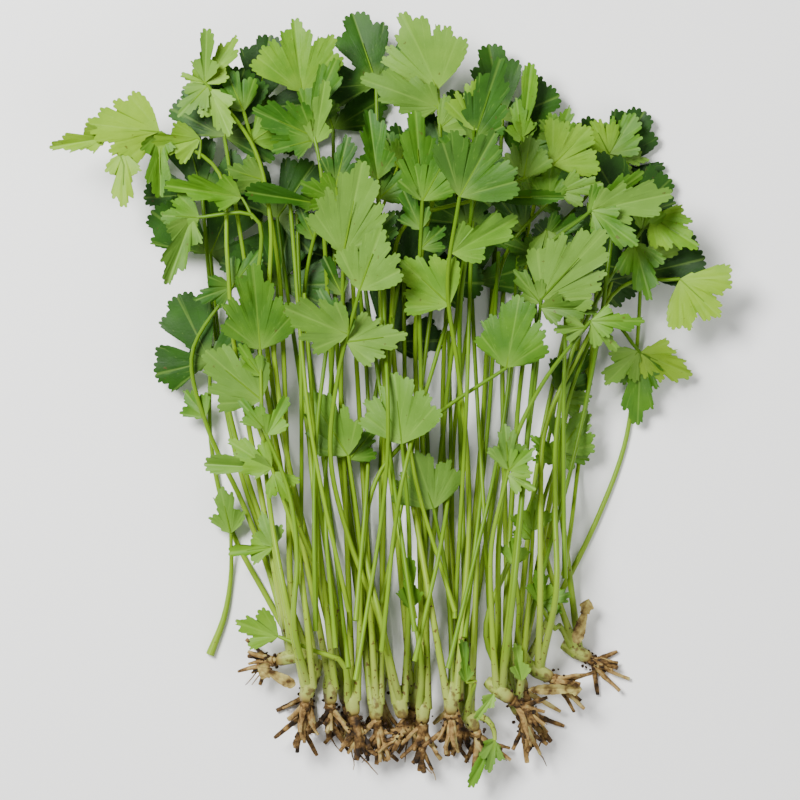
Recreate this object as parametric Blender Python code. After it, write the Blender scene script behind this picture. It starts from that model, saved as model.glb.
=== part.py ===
# Coriander bunch: young plants with cut leaves, pale crowns and trimmed roots, heaped on their side.
# X is to the right, +Y towards the leaves, -Y towards the roots, +Z up from the surface it lies on.
# Lengths in the layout are millimetres; MM turns them into metres when a mesh is made.
import itertools
import math
import random

import bmesh
import bpy
import numpy as np
from mathutils import Matrix, Vector

MM = 0.001

# Driving dimensions
GAP = 0.7                  # clear air kept between two plants where they lie on each other
BLADE = 0.9                # thickness of a leaflet
STALK_RADIUS = 1.9         # leaf stalk where it leaves the crown
STALK_TIP_RADIUS = 1.05    # leaf stalk under its last leaflet
SLIM_RADIUS = 1.5          # thickness up to which a stalk counts as slim when it is laid
SIDE_STALK_RADIUS = 0.85   # short stalk of a side leaflet
STALK_SIDES = 4
STALK_SPAN = 44.0          # longest straight run of a leaf stalk
STALK_RISES = (0.55, 1.2)  # steepest climb of a leaf stalk, and of one that finds no other way
CROWN_RADIUS = 4.8
CROWN_HALF = 8.0           # half of the crown's length
CROWN_SPREAD = 2.2         # how far to either side of the crown's middle its outer stalks start
SIDESTEPS = (0, 5, -5, 9, -9, 14, -14, 20, -20)
SINK = 0.45                # how far a leaflet's base is sunk into its stalk, at least
ROOT_GAP = 0.35            # between a crown and its brown root
ROOT_RADIUS = 3.2
ROOT_TIP_RADIUS = 1.3
ROOT_RISE = 0.8            # steepest drop of a root
ROOTLETS = ((0.3, -1), (0.5, 1))   # where on the main root each leaves it, and to which side
ROOTLET_RADII = (1.1, 0.6)
ROOTLET_REACH = (12, 19)
ROOTLET_TURN = (0.5, 1.0)
CLIMB_COST = 2.0           # how much a stalk shuns climbing, against lying low
CROSSING_COST = 0.15       # how much a leaflet shuns passing through its neighbour on the stalk
TRIES = 8                  # ways of leaning that a leaflet is tried in
SWAY = 14.0                # how far a hidden stalk bows to one side
CLEAR_RUN = 24.0           # run from the crown along which a plant's own stalks may touch
HIDDEN_LENGTH = (34, 42)   # of a hidden leaf
HIDDEN_TURN = 0.6          # how far a hidden leaf points to either side
TOUCHDOWN = 0.75           # a leaflet that would lie this near the surface is laid on it
APART = 4.0                # farthest a leaflet's base may be from its stalk without a side stalk
MIDDLE = (-3.5, 0.1)       # middle of the heap in the layout, moved to x = y = 0
SEED = 41

# A leaflet is (base, tip, width); a leafy stalk is (points from the crown on, its leaflets).
# Plants are listed from the lowest in the heap to the highest.
PLANTS = [
    # Lower plants: their leaves are the dark ones seen between the upper leaves
    {"crown": (-10, -142), "root": (-12, -176), "hidden": [(-8, 30), (-28, 70), (-34, 138), (8, 110)]},
    {"crown": (30, -145), "root": (30, -178), "hidden": [(38, 60), (28, 108), (66, 112), (52, 142)]},
    {"crown": (-28, -147), "root": (-25, -178), "hidden": [(-62, 58), (-62, 92), (-72, 148)]},
    {"crown": (60, -140), "root": (74, -174), "hidden": [(92, 66), (116, 92), (106, 116), (122, 64)]},
    {"crown": (8, -150), "root": (5, -172), "hidden": [(6, 60), (34, 88), (-12, 160)]},
    {"crown": (-44, -140), "root": (-50, -160), "hidden": [(-96, 74), (-100, 104), (-96, 20), (-88, 132)]},
    # Plants whose leaves show at the sides and along the top
    {"crown": (-55, -130), "root": (-71, -134), "stalks": [
        ([(-69, -80), (-90, -30), (-102, -5), (-105, 8), (-104, 27), (-94, 45), (-84, 57)],
         [((-84, 57), (-103, 50), 15), ((-84, 57), (-70, 75), 17), ((-101, -9), (-110, 5), 15)]),
        ([(-70, -50), (-84, 35), (-88, 100), (-97, 129), (-110, 134), (-120, 134)],
         [((-123, 134), (-157, 137), 33), ((-147, 131), (-175, 126), 13), ((-138, 124), (-138, 96), 16),
          ((-100, 131), (-127, 125), 17), ((-120, 134), (-120, 99), 15)]),
        ([(-57, -110), (-64, -74)],
         [((-64, -74), (-86, -77), 12), ((-64, -74), (-70, -56), 13)]),
        ([(-60, 50), (-67, 100), (-71, 130), (-78, 144)],
         [((-78, 144), (-88, 167), 19), ((-66, 111), (-88, 116), 16), ((-71, 130), (-54, 142), 18)]),
    ]},
    {"crown": (-35, -146), "root": (-36, -172), "stalks": [
        ([(-58, -20), (-66, 60), (-64, 110), (-75, 129), (-90, 150), (-97, 158)],
         [((-97, 158), (-96, 183), 11), ((-96, 157), (-82, 181), 14), ((-97, 156), (-110, 141), 15),
          ((-95, 154), (-84, 130), 16), ((-98, 159), (-110, 162), 9)]),
        ([(-75, 0), (-73, 50), (-70, 85), (-79, 101), (-97, 96), (-104, 91)],
         [((-79, 101), (-116, 107), 16), ((-100, 94), (-120, 92), 22), ((-104, 91), (-116, 57), 17)]),
        ([(-50, 35), (-37, 80), (-39, 98)],
         [((-39, 98), (-78, 104), 11), ((-42, 80), (-51, 98), 12), ((-38, 92), (-20, 100), 18)]),
    ]},
    {"crown": (-12, -154), "root": (-12, -185), "stalks": [
        ([(-33, -10), (-36, 50), (-39, 100), (-41, 130), (-49, 154)],
         [((-49, 154), (-53, 190), 41), ((-43, 132), (-72, 144), 23), ((-41, 130), (-63, 124), 12),
          ((-40, 128), (-37, 160), 13), ((-44, 140), (-31, 171), 18)]),
        ([(-23, 35), (-25, 75), (-32, 106)],
         [((-32, 106), (-26, 131), 18), ((-30, 99), (-50, 108), 17), ((-29, 96), (-12, 112), 16)]),
        ([(-8, -20), (-8, 50), (-9, 85), (-11, 109)],
         [((-11, 109), (-16, 144), 17), ((-10, 100), (8, 116), 17), ((-10, 97), (-28, 84), 16)]),
    ]},
    {"crown": (12, -156), "root": (10, -188), "stalks": [
        ([(8, 35), (14, 90), (21, 125), (19, 155)],
         [((19, 155), (0, 193), 40), ((19, 146), (-19, 160), 22), ((20, 135), (38, 150), 20)]),
        ([(10, 35), (9, 70), (11, 98)],
         [((11, 98), (7, 140), 24), ((11, 98), (28, 128), 20), ((9, 84), (0, 108), 14),
          ((9, 75), (22, 86), 14)]),
        ([(11, -130), (5, -105)], [((5, -105), (4, -78), 11)]),
    ]},
    {"crown": (35, -160), "root": (43, -178), "stalks": [
        ([(30, 35), (35, 90), (36, 131)],
         [((36, 131), (37, 157), 28), ((36, 126), (49, 166), 25), ((35, 112), (18, 128), 18)]),
        ([(44, 20), (52, 70), (70, 98), (79, 104)],
         [((79, 104), (100, 108), 16), ((72, 99), (76, 122), 17), ((60, 86), (47, 104), 17)]),
        ([(33, -141)], [((33, -141), (31, -120), 7)]),
        ([(46, -163), (48, -172)], [((48, -172), (45, -188), 11), ((47, -171), (35, -196), 8)]),
    ]},
    {"crown": (58, -152), "root": (68, -176), "stalks": [
        ([(52, 35), (58, 85), (62, 133)],
         [((62, 133), (66, 169), 10), ((61, 130), (59, 153), 13), ((61, 126), (80, 140), 18)]),
        ([(61, 10), (68, 55), (73, 85)],
         [((73, 85), (75, 64), 18), ((71, 80), (92, 92), 16), ((70, 72), (52, 78), 15)]),
        ([(72, -35), (80, 4)],
         [((80, 4), (95, 28), 20), ((79, 0), (98, 2), 15)]),
        ([(65, -100), (67, -66)], [((67, -66), (69, -48), 15), ((67, -70), (56, -58), 11)]),
    ]},
    {"crown": (90, -128), "root": (101, -134), "stalks": [
        ([(78, -116), (70, -102)],
         [((70, -102), (86, -97), 14), ((70, -102), (71, -83), 13)]),
        ([(74, -80), (72, -50), (81, -26)],
         [((81, -26), (95, -6), 26), ((78, -31), (66, -18), 13), ((80, -28), (97, -30), 13)]),
        ([(80, -25), (94, 20), (107, 45), (117, 49), (121, 38), (122, 24)],
         [((122, 24), (148, 12), 21), ((122, 24), (121, -11), 21), ((122, 26), (103, 7), 18)]),
    ]},
    {"crown": (70, -137), "root": (86, -146), "stalks": [
        ([(73, -15), (95, 30), (115, 62), (128, 72), (141, 61)],
         [((141, 61), (161, 42), 39), ((127, 72), (141, 92), 17)]),
        ([(80, 0), (100, 50), (115, 80), (126, 92)],
         [((126, 92), (149, 77), 23), ((116, 81), (125, 51), 20), ((120, 86), (127, 108), 16)]),
        ([(60, -100), (57, -83)], [((57, -83), (58, -66), 13)]),
    ]},
    # Upper plants: their leaves and stalks lie over the rest
    {"crown": (50, -146), "root": (66, -158), "stalks": [
        ([(65, -10), (70, 40), (68, 75), (78, 90), (95, 94)],
         [((95, 94), (136, 103), 22), ((95, 94), (117, 77), 16), ((92, 93), (120, 113), 18)]),
        ([(60, -60), (65, 0), (70, 50)],
         [((70, 50), (100, 83), 38), ((70, 48), (56, 64), 13), ((70, 46), (99, 44), 14)]),
        ([(50, -60), (59, -10), (64, -1), (73, 11), (84, 27), (94, 39)],
         [((94, 39), (108, 24), 12), ((92, 36), (76, 34), 11), ((94, 39), (120, 39), 14)]),
        ([(45, -80), (54, -35)],
         [((54, -35), (52, -11), 16), ((54, -37), (67, -44), 12), ((54, -35), (66, -24), 13)]),
    ]},
    {"crown": (26, -150), "root": (24, -180), "stalks": [
        ([(15, -100), (0, -10), (-4, 50), (-1, 82), (10, 91), (23, 97), (38, 100), (55, 105), (76, 117)],
         [((76, 117), (95, 136), 32), ((62, 109), (65, 132), 22), ((40, 100), (82, 100), 9)]),
        ([(35, -60), (31, 2), (27, 25), (23, 47), (25, 70), (29, 99)],
         [((29, 99), (46, 130), 43), ((23, 47), (1, 69), 32), ((25, 72), (60, 91), 19)]),
        ([(25, -100), (17, -55)],
         [((17, -55), (7, -26), 34)]),
    ]},
    {"crown": (-24, -152), "root": (-22, -182), "stalks": [
        ([(-40, -127), (-61, -119)], [((-61, -119), (-84, -111), 20)]),
        ([(-28, -40), (-30, 10), (-28, 50), (-28, 72)],
         [((-28, 72), (-19, 115), 38), ((-28, 68), (-1, 94), 19), ((-29, 52), (-38, 71), 9)]),
        ([(-20, -80), (-26, -28)],
         [((-26, -28), (-48, 6), 27), ((-26, -30), (-12, -14), 15)]),
    ]},
    {"crown": (-46, -144), "root": (-53, -176), "stalks": [
        ([(-66, -50), (-69, 0), (-70, 25)],
         [((-70, 25), (-73, 66), 34), ((-70, 0), (-99, 25), 31), ((-70, 12), (-80, 27), 10)]),
        ([(-50, -80), (-64, -34)],
         [((-64, -34), (-85, -21), 17), ((-64, -34), (-100, -32), 11), ((-63, -36), (-54, -51), 16)]),
        ([(-52, -60), (-68, -14)],
         [((-68, -14), (-80, 0), 12), ((-66, -18), (-56, 2), 11)]),
    ]},
    {"crown": (0, -153), "root": (5, -180), "stalks": [
        ([(-32, -50), (-34, -5), (-31, 12), (-26, 33), (-20, 54)],
         [((-20, 54), (-9, 84), 31), ((-26, 33), (-57, 45), 26), ((-26, 31), (-40, 54), 15),
          ((-27, 29), (4, 33), 24)]),
        ([(5, -80), (1, -22)],
         [((1, -22), (-3, 14), 37)]),
        ([(-20, -58), (-14, -43), (-1, -24), (15, -10), (31, 1), (45, 8), (53, 16)],
         [((53, 16), (59, 54), 34)]),
    ]},
]
# The end of the stalk whose leaf is pressed flat on the surface by what lies on it
FLAT_NODE = (-8, 30)
# A leaf broken off its plant, as a leafy stalk
BROKEN_LEAF = ([(-97, -130), (-90, -112), (-86, -87), (-86, -68)], [((-86, -68), (-91, -44), 16)])
# Loose small leaves of the seedlings, and withered scraps, as leaflets
SEED_LEAVES = [((61, -141), (58, -122), 9), ((47, -147), (38, -160), 7)]
SCRAPS = [((96, -101), (89, -124), 7), ((-72, -134), (-53, -143), 7), ((92, -146), (64, -145), 7)]

# Colours, roughness
LEAF_GREEN = (0.13, 0.26, 0.045)
ROOT_BROWN = (0.30, 0.20, 0.10)
SCRAP_TAN = (0.50, 0.42, 0.22)

# Leaflet outline: tooth edges in degrees either side of the midrib, and which of them are deep clefts.
# A whole leaf is three leaflets in one outline, and has WHOLE for its width.
WHOLE = 0
TEETH = {
    9: ((-54, -41, -30, -19, -6, 6, 19, 30, 41, 54), (3, 6)),
    7: ((-52, -35, -20, -7, 7, 20, 35, 52), (2, 5)),
    5: ((-46, -19, -6, 6, 19, 46), (1, 4)),
    3: ((-40, -14, 14, 40), (1, 2)),
    WHOLE: ((-114, -90, -64, -38, -13, 13, 38, 64, 90, 114), (3, 6)),
}
NECK = (0.8, 3.0)          # half width and length of the narrow foot of a blade
LEAN = 0.35                # steepest lean of a leaflet to either side
FOLD = (-0.12, 0.28)       # slope of its two halves up from the midrib
SLIM_FOLD = (0.5, 0.8)     # the same where the leaflet is seen nearly edge on
DROOP = (0.0, 0.3)
WAVE = (0.04, 0.1)
RIPPLES = (4, 5, 6)
CLEFT = 0.42               # how far a deep cleft cuts towards the base
WHOLE_CLEFT = 0.72         # the same between the three leaflets of a whole leaf
NOTCH = 0.17               # how far a notch between two teeth cuts in

# The heap's space in small cells: which of them something already lies in
SPACE_LOW = (-215, -235)
SPACE_SIZE = (430, 470, 240)
LEVEL = 0.5                # height of a cell
CELL = 1.0                 # width of a cell
SAMPLE = 0.9               # farthest apart that a blade's sample points may be


def cells(x, y):
    """The columns of cells that hold the points."""
    return np.rint(x - SPACE_LOW[0]).astype(int), np.rint(y - SPACE_LOW[1]).astype(int)


def disc(reach):
    """Column offsets within reach."""
    span = range(-math.ceil(reach), math.ceil(reach) + 1)
    return [(i, j) for i in span for j in span if i * i + j * j <= reach * reach]


def taken(space, x, y, reach, half):
    """For each place and level, whether a piece with this half height would touch something."""
    i, j = cells(x, y)
    filled = np.zeros((len(i), SPACE_SIZE[2]), dtype=bool)
    for di, dj in disc(reach):
        filled |= space[i + di, j + dj]
    margin = math.ceil((half + GAP) / LEVEL)
    count = np.cumsum(np.pad(filled, ((0, 0), (margin + 1, margin))), axis=1, dtype=np.int32)
    touched = count[:, 2 * margin + 1:] > count[:, :-2 * margin - 1]
    touched[:, :math.ceil(half / LEVEL)] = True
    return touched


def fill(space, x, y, height, reach, half, lies_there=True):
    """Marks the cells that a piece lies in."""
    i, j = cells(x, y)
    low = np.floor((height - half) / LEVEL).astype(int)
    steps = math.ceil(2 * half / LEVEL) + 1
    for di, dj in disc(reach):
        for step in range(steps):
            space[i + di, j + dj, np.clip(low + step, 0, SPACE_SIZE[2] - 1)] = lies_there


def smooth_path(points, count):
    """Evenly spaced points on a smooth curve through the given points."""
    ends = [2 * Vector(points[0]) - Vector(points[1]), 2 * Vector(points[-1]) - Vector(points[-2])]
    guides = [ends[0]] + [Vector(p) for p in points] + [ends[1]]
    fine = []
    for a, b, c, d in zip(guides, guides[1:], guides[2:], guides[3:]):
        for step in range(12):
            t = step / 12
            fine.append(0.5 * (2 * b + (c - a) * t + (2 * a - 5 * b + 4 * c - d) * t ** 2
                               + (3 * b - a - 3 * c + d) * t ** 3))
    fine.append(Vector(points[-1]))
    fine = np.array([tuple(p) for p in fine])
    run = np.concatenate([[0], np.cumsum(np.linalg.norm(np.diff(fine, axis=0), axis=1))])
    return np.column_stack([np.interp(np.linspace(0, run[-1], count), run, fine[:, k])
                            for k in range(fine.shape[1])])


def runs(points):
    """Distance from the first point to each point."""
    return np.concatenate([[0], np.cumsum(np.linalg.norm(np.diff(points, axis=0), axis=1))])


def settle(along, touched, knots, start, rise):
    """Easiest heights at the knots of a line whose straight spans touch nothing."""
    levels = np.arange(SPACE_SIZE[2])
    cost = np.full(len(levels), np.inf)
    cost[start] = 0.0
    steps = []
    for left, right in zip(knots, knots[1:]):
        inside = np.flatnonzero((along >= left - 0.01) & (along <= right + 0.01))
        part = ((along[inside] - left) / (right - left))[:, None]
        most = max(1, int(rise * (right - left) / LEVEL))
        best = np.full(len(levels), np.inf)
        origin = np.zeros(len(levels), dtype=int)
        for change in range(-most, most + 1):
            ends = levels + change
            able = (ends >= 0) & (ends < len(levels))
            path = np.clip(np.rint(levels + part * change).astype(int), 0, len(levels) - 1)
            free = able & ~touched[inside[:, None], path].any(axis=0)
            price = cost + ends * LEVEL + CLIMB_COST * (change * LEVEL) ** 2 / (right - left)
            known = np.where(able, best[np.clip(ends, 0, len(levels) - 1)], 0.0)
            better = np.flatnonzero(free & (price < known))
            best[ends[better]] = price[better]
            origin[ends[better]] = better
        steps.append(origin)
        cost = best
    if not np.isfinite(cost).any():
        return None
    chain = [int(np.argmin(cost))]
    for origin in reversed(steps):
        chain.append(int(origin[chain[-1]]))
    return np.array(chain[::-1]) * LEVEL


def tooth_count(width):
    return WHOLE if width == WHOLE else 9 if width >= 34 else 7 if width >= 21 else 5 if width >= 13 else 3


def envelope(leaf, angle):
    """Reach of the leaflet's rounded outline from its base at an angle from the midrib."""
    if leaf["width"] == WHOLE:
        return leaf["length"] * (0.8 + 0.2 * math.cos(angle))
    a = leaf["width"] / 2
    b = leaf["length"] / 2
    return 2 * math.cos(angle) / b / (math.sin(angle) ** 2 / a ** 2 + math.cos(angle) ** 2 / b ** 2)


def outline(leaf):
    """Corners of a leaflet's outline as (angle, reach): tooth tips with the notches between them."""
    edges, clefts = TEETH[tooth_count(leaf["width"])]
    draw = random.Random(leaf["seed"])
    corners = []
    for k, (left, right) in enumerate(zip(edges, edges[1:])):
        if k:
            cleft = WHOLE_CLEFT if leaf["width"] == WHOLE else CLEFT
            depth = (cleft if k in clefts else NOTCH) * draw.uniform(0.85, 1.1)
            angle = math.radians(left + draw.uniform(-1.5, 1.5))
            corners.append((angle, envelope(leaf, angle) * (1 - depth)))
        angle = math.radians((left + right) / 2 + draw.uniform(-1.5, 1.5))
        corners.append((angle, envelope(leaf, angle) * draw.uniform(0.94, 1.05)))
    return corners


def blade_height(leaf, side, ahead):
    """Height of the blade over its base at a place beside and ahead of it."""
    reach = math.hypot(side, ahead)
    angle = math.atan2(side, ahead)
    x, y = turn(leaf, side, ahead)
    flat = leaf["lean"][0] * x + leaf["lean"][1] * y
    wave = leaf["wave"] * reach * math.sin(leaf["ripples"] * angle + leaf["phase"])
    return flat + leaf["fold"] * abs(side) - leaf["droop"] * reach ** 2 / leaf["length"] + wave


def turn(leaf, side, ahead):
    """From beside and ahead of a leaflet's base to the layout's x and y, from the base."""
    ux, uy = leaf["heading"]
    return side * uy + ahead * ux, -side * ux + ahead * uy


def blade_corners(leaf):
    """The point where the blade's veins meet and the corners round it, from its base, as x, y, z."""
    half, length = NECK
    edge = [(reach * math.sin(angle), reach * math.cos(angle)) for angle, reach in outline(leaf)]
    places = [(0.0, length), (-half, 0.0), *edge, (half, 0.0)]
    return np.array([(*turn(leaf, side, ahead), blade_height(leaf, side, ahead)) for side, ahead in places])


def blade_samples(corners):
    """Points under a millimetre apart all over the blade, from its base."""
    found = []
    middle = corners[0]
    for left, right in zip(corners[1:], np.roll(corners[1:], -1, axis=0)):
        far = max(np.linalg.norm(left - middle), np.linalg.norm(right - middle))
        outward = np.linspace(0, 1, max(2, math.ceil(far / SAMPLE)) + 1)[:, None, None]
        across = max(1, math.ceil(np.linalg.norm(left - right) / SAMPLE))
        edge = left + (right - left) * np.linspace(0, 1, across + 1)[:, None]
        found.append((middle + outward * (edge[None] - middle)).reshape(-1, 3))
    found = np.concatenate(found)
    kept = np.unique(np.rint(found[:, :2] / SAMPLE), axis=0, return_index=True)[1]
    return found[np.sort(kept)]


def blade_taken(leaf, space):
    """For each level of the leaflet's base, whether its blade would touch something."""
    samples = leaf["samples"]
    touched = taken(space, samples[:, 0] + leaf["base"][0], samples[:, 1] + leaf["base"][1],
                    1.5 * CELL, leaf["thick"] / 2)
    levels = np.arange(SPACE_SIZE[2])[None, :] + np.rint(samples[:, 2:] / LEVEL).astype(int)
    inside = touched[np.arange(len(samples))[:, None], np.clip(levels, 0, SPACE_SIZE[2] - 1)]
    blocked = (inside | (levels < 0)).any(axis=0)
    if leaf["upper"]:
        blocked[:np.flatnonzero(blocked).max(initial=-1) + 1] = True
    return blocked


def crossing(leaf, others):
    """How much of the blade would pass through leaflets that start at the same height."""
    i, j = cells(leaf["samples"][:, 0] + leaf["base"][0], leaf["samples"][:, 1] + leaf["base"][1])
    leaf["sheet"] = np.full(SPACE_SIZE[:2], np.nan)
    leaf["sheet"][i, j] = leaf["samples"][:, 2]
    return sum(np.count_nonzero(np.abs(other["sheet"][i, j] - leaf["samples"][:, 2]) < BLADE + LEVEL)
               for other in others)


def make_leaf(base, tip, width, place, space, others, draw):
    """Settles how a leaflet leans: of a few ways, the one in which it lies low and clear of the others."""
    reach = Vector(tip) - Vector(base)
    slim = WHOLE < width < 0.5 * reach.length
    best = None
    for _ in range(TRIES):
        leaf = {"base": base, "length": reach.length, "width": width, "upper": place == "upper",
                "flat": place == "flat",
                "heading": tuple(reach.normalized()), "seed": draw.randrange(10 ** 6),
                "lean": (draw.uniform(-LEAN, LEAN), draw.uniform(-LEAN, LEAN)),
                "fold": draw.uniform(*SLIM_FOLD) if slim else draw.uniform(*FOLD),
                "droop": draw.uniform(*DROOP), "wave": draw.uniform(*WAVE),
                "ripples": draw.choice(RIPPLES), "phase": draw.uniform(0, 2 * math.pi)}
        if leaf["flat"]:
            leaf.update(lean=(0.0, 0.0), fold=0.0, droop=0.0, wave=0.0)
        steep = math.hypot(*leaf["lean"]) + abs(leaf["fold"]) + leaf["droop"]
        leaf["thick"] = BLADE * math.sqrt(1 + 0.5 * steep ** 2)
        leaf["corners"] = blade_corners(leaf)
        leaf["samples"] = blade_samples(leaf["corners"])
        leaf["blocked"] = blade_taken(leaf, space)
        cost = np.argmin(leaf["blocked"]) + CROSSING_COST * crossing(leaf, others)
        if best is None or cost < best[0]:
            best = (cost, leaf)
    return best[1]


def lay_stalk(path, leaves, place, rise, space, early, start, draw):
    """Lays one leafy stalk in the heap and gives its knots, radii and leaflets."""
    dense = smooth_path(path, max(12, int(runs(np.array(path))[-1])))
    along = runs(dense)
    knots = np.linspace(0, along[-1], max(4, math.ceil(along[-1] / STALK_SPAN) + 1))
    if rise > STALK_RISES[0]:
        knots = np.unique(np.concatenate([[0, 0.4 * knots[1]], knots[1:]]))
    radius = np.interp(knots, [0, along[-1]], [STALK_RADIUS, STALK_TIP_RADIUS])
    plan = np.column_stack([np.interp(knots, along, dense[:, k]) for k in (0, 1)])
    straight = np.column_stack([np.interp(along, knots, plan[:, k]) for k in (0, 1)])
    wide = np.interp(along, knots, radius)
    touched = taken(space, straight[:, 0], straight[:, 1], STALK_RADIUS + CELL, STALK_RADIUS)
    slim = wide < SLIM_RADIUS
    touched[slim] = taken(space, straight[slim, 0], straight[slim, 1], SLIM_RADIUS + CELL, SLIM_RADIUS)
    near = along < CLEAR_RUN
    touched[near] = taken(early, straight[near, 0], straight[near, 1], STALK_RADIUS + CELL, STALK_RADIUS)
    touched[along < CROWN_HALF] = False
    settled = []
    for base, tip, width in leaves:
        at = int(np.argmin(np.hypot(straight[:, 0] - base[0], straight[:, 1] - base[1])))
        apart = math.dist(straight[at], base)
        foot = base if apart > APART else tuple(straight[at])
        leaf = make_leaf(foot, tip, width, place, space, settled, draw)
        leaf["at"] = at
        leaf["branch"] = max(0, at - int(0.7 * apart)) if apart > APART else at
        touched[at] |= leaf["blocked"]
        settled.append(leaf)
    height = settle(along, touched, knots, start, rise)
    if height is None:
        return None
    if settled[0]["flat"]:
        height[-1] = STALK_TIP_RADIUS + 0.05
    level = np.interp(along, knots, height)
    fill(space, straight[~slim, 0], straight[~slim, 1], level[~slim], STALK_RADIUS, STALK_RADIUS)
    fill(space, straight[slim, 0], straight[slim, 1], level[slim], SLIM_RADIUS, SLIM_RADIUS)
    for leaf in settled:
        leaf["z"] = float(level[leaf["at"]])
        under = leaf["z"] + leaf["corners"][:, 2].min() - leaf["thick"] / 2
        if under < TOUCHDOWN:
            leaf["z"] -= under
        fill_leaf(leaf, space)
        if leaf["branch"] != leaf["at"]:
            leaf["stalk"] = [(*straight[leaf["branch"]], level[leaf["branch"]]), (*leaf["base"], leaf["z"])]
            line = smooth_path(leaf["stalk"], 30)
            fill(space, line[:, 0], line[:, 1], line[:, 2], 1.0, SIDE_STALK_RADIUS)
    return {"knots": np.column_stack([plan, height]), "radius": radius, "leaves": settled}


def fill_leaf(leaf, space):
    samples = leaf["samples"]
    fill(space, samples[:, 0] + leaf["base"][0], samples[:, 1] + leaf["base"][1],
         samples[:, 2] + leaf["z"], 0.5, leaf["thick"] / 2)


def lay_crown(plant, space, draw):
    """Lays a crown and its roots in the lowest free place."""
    crown = np.array(plant["crown"], dtype=float)
    away = np.array(plant["root"]) - crown
    away = away / np.linalg.norm(away)
    ends = [tuple(crown - away * CROWN_HALF), tuple(crown + away * CROWN_HALF)]
    places = smooth_path(ends, 16)
    touched = taken(space, places[:, 0], places[:, 1], CROWN_RADIUS + CELL, CROWN_RADIUS)
    blocked = touched.any(axis=0)
    start = int(np.argmin(blocked))
    base = start * LEVEL
    laid = {"axis": [ends[0], tuple(crown), ends[1]], "away": tuple(away), "places": places,
            "floor": base - math.ceil(CROWN_RADIUS / LEVEL) * LEVEL, "start": start, "stalks": []}
    laid["roots"] = lay_roots(ends[1] + away * ROOT_GAP, plant["root"], start, space, draw)
    fill(space, places[:, 0], places[:, 1], np.full(len(places), base), CROWN_RADIUS, CROWN_RADIUS)
    return laid


def lay_plant(plant, laid, space, draw):
    """Lays a plant's stalks and leaflets."""
    early = space.copy()
    places = laid["places"]
    fill(early, places[:, 0], places[:, 1], np.full(len(places), laid["start"] * LEVEL),
         CROWN_RADIUS, CROWN_RADIUS, lies_there=False)
    crown = plant["crown"]
    routes = [([crown] + points, leaves, "upper") for points, leaves in plant.get("stalks", [])]
    routes += [(*hidden_stalk(crown, node, draw), "flat" if node == FLAT_NODE else "lower")
               for node in plant.get("hidden", [])]
    start_side_by_side(routes, laid["away"])
    for path, leaves, place in routes:
        for rise, sidestep in itertools.product(STALK_RISES, SIDESTEPS):
            stalk = lay_stalk(step_aside(path, sidestep), leaves, place, rise, space, early,
                              laid["start"], draw)
            if stalk:
                break
        laid["stalks"].append(stalk)


def start_side_by_side(routes, away):
    """Moves the stalks' starts across the crown, in the order in which the stalks fan out."""
    across = Vector((-away[1], away[0]))
    fan = sorted((path for path, *_ in routes),
                 key=lambda path: (Vector(path[1]) - Vector(path[0])).normalized().dot(across))
    for path, offset in zip(fan, np.linspace(-CROWN_SPREAD, CROWN_SPREAD, len(fan))):
        path[0] = tuple(Vector(path[0]) + across * float(offset))


def step_aside(path, sidestep):
    """The path with its first stretch moved aside, to get round what lies there."""
    first = Vector(path[0])
    heading = (Vector(path[1]) - first).normalized()
    across = Vector((heading.y, -heading.x))
    moved = tuple(first + heading * CLEAR_RUN + across * sidestep)
    return [path[0], moved] + path[1:] if sidestep else path


def hidden_stalk(crown, node, draw):
    """A stalk that the upper leaves cover, with one whole leaf at its end."""
    middle = (Vector(crown) * 0.45 + Vector(node) * 0.55)
    middle.x += draw.uniform(-SWAY, SWAY) + 0.12 * (node[0] - crown[0])
    heading = draw.uniform(-HIDDEN_TURN, HIDDEN_TURN)
    length = draw.uniform(*HIDDEN_LENGTH)
    tip = (node[0] + length * math.sin(heading), node[1] + length * math.cos(heading))
    return [crown, tuple(middle), node], [(node, tip, WHOLE)]


def lay_roots(begin, tip, level, space, draw):
    """A trimmed main root and its rootlets, drooping to what lies under them."""
    begin = Vector(begin)
    main = Vector(tip) - begin
    bow = Vector((draw.uniform(-2, 2), 0))
    routes = [([begin, begin + main * 0.5 + bow, begin + main], (ROOT_RADIUS, ROOT_TIP_RADIUS), 4)]
    for part, side in ROOTLETS:
        turned = main.normalized()
        turned.rotate(Matrix.Rotation(side * draw.uniform(*ROOTLET_TURN), 2))
        first = begin + main * part
        reach = draw.uniform(*ROOTLET_REACH)
        routes.append(([first, first + turned * reach * 0.5, first + turned * reach], ROOTLET_RADII, 3))
    early = space.copy()
    laid = []
    for points, radii, sides in routes:
        thick = radii[0]
        dense = smooth_path([tuple(p) for p in points], 40)
        along = runs(dense)
        knots = np.linspace(0, along[-1], sides)
        plan = np.column_stack([np.interp(knots, along, dense[:, k]) for k in (0, 1)])
        straight = np.column_stack([np.interp(along, knots, plan[:, k]) for k in (0, 1)])
        radius = np.interp(knots, [0, along[-1]], radii)
        touched = taken(early, straight[:, 0], straight[:, 1], thick + CELL, thick)
        if laid:
            touched[along < ROOT_RADIUS] = False
            trunk = laid[0]["knots"]
            far = math.dist(trunk[0][:2], points[0])
            level = int(round(np.interp(far, runs(trunk[:, :2]), trunk[:, 2]) / LEVEL))
        height = settle(along, touched, knots, level, ROOT_RISE)
        if height is None:
            continue
        facing = None if laid else (main.x, main.y, 0.0)
        laid.append({"knots": np.column_stack([plan, height]), "radius": radius, "sides": sides,
                     "facing": facing})
        fill(space, straight[:, 0], straight[:, 1], np.interp(along, knots, height), thick, thick)
    return laid


# Meshes


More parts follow.
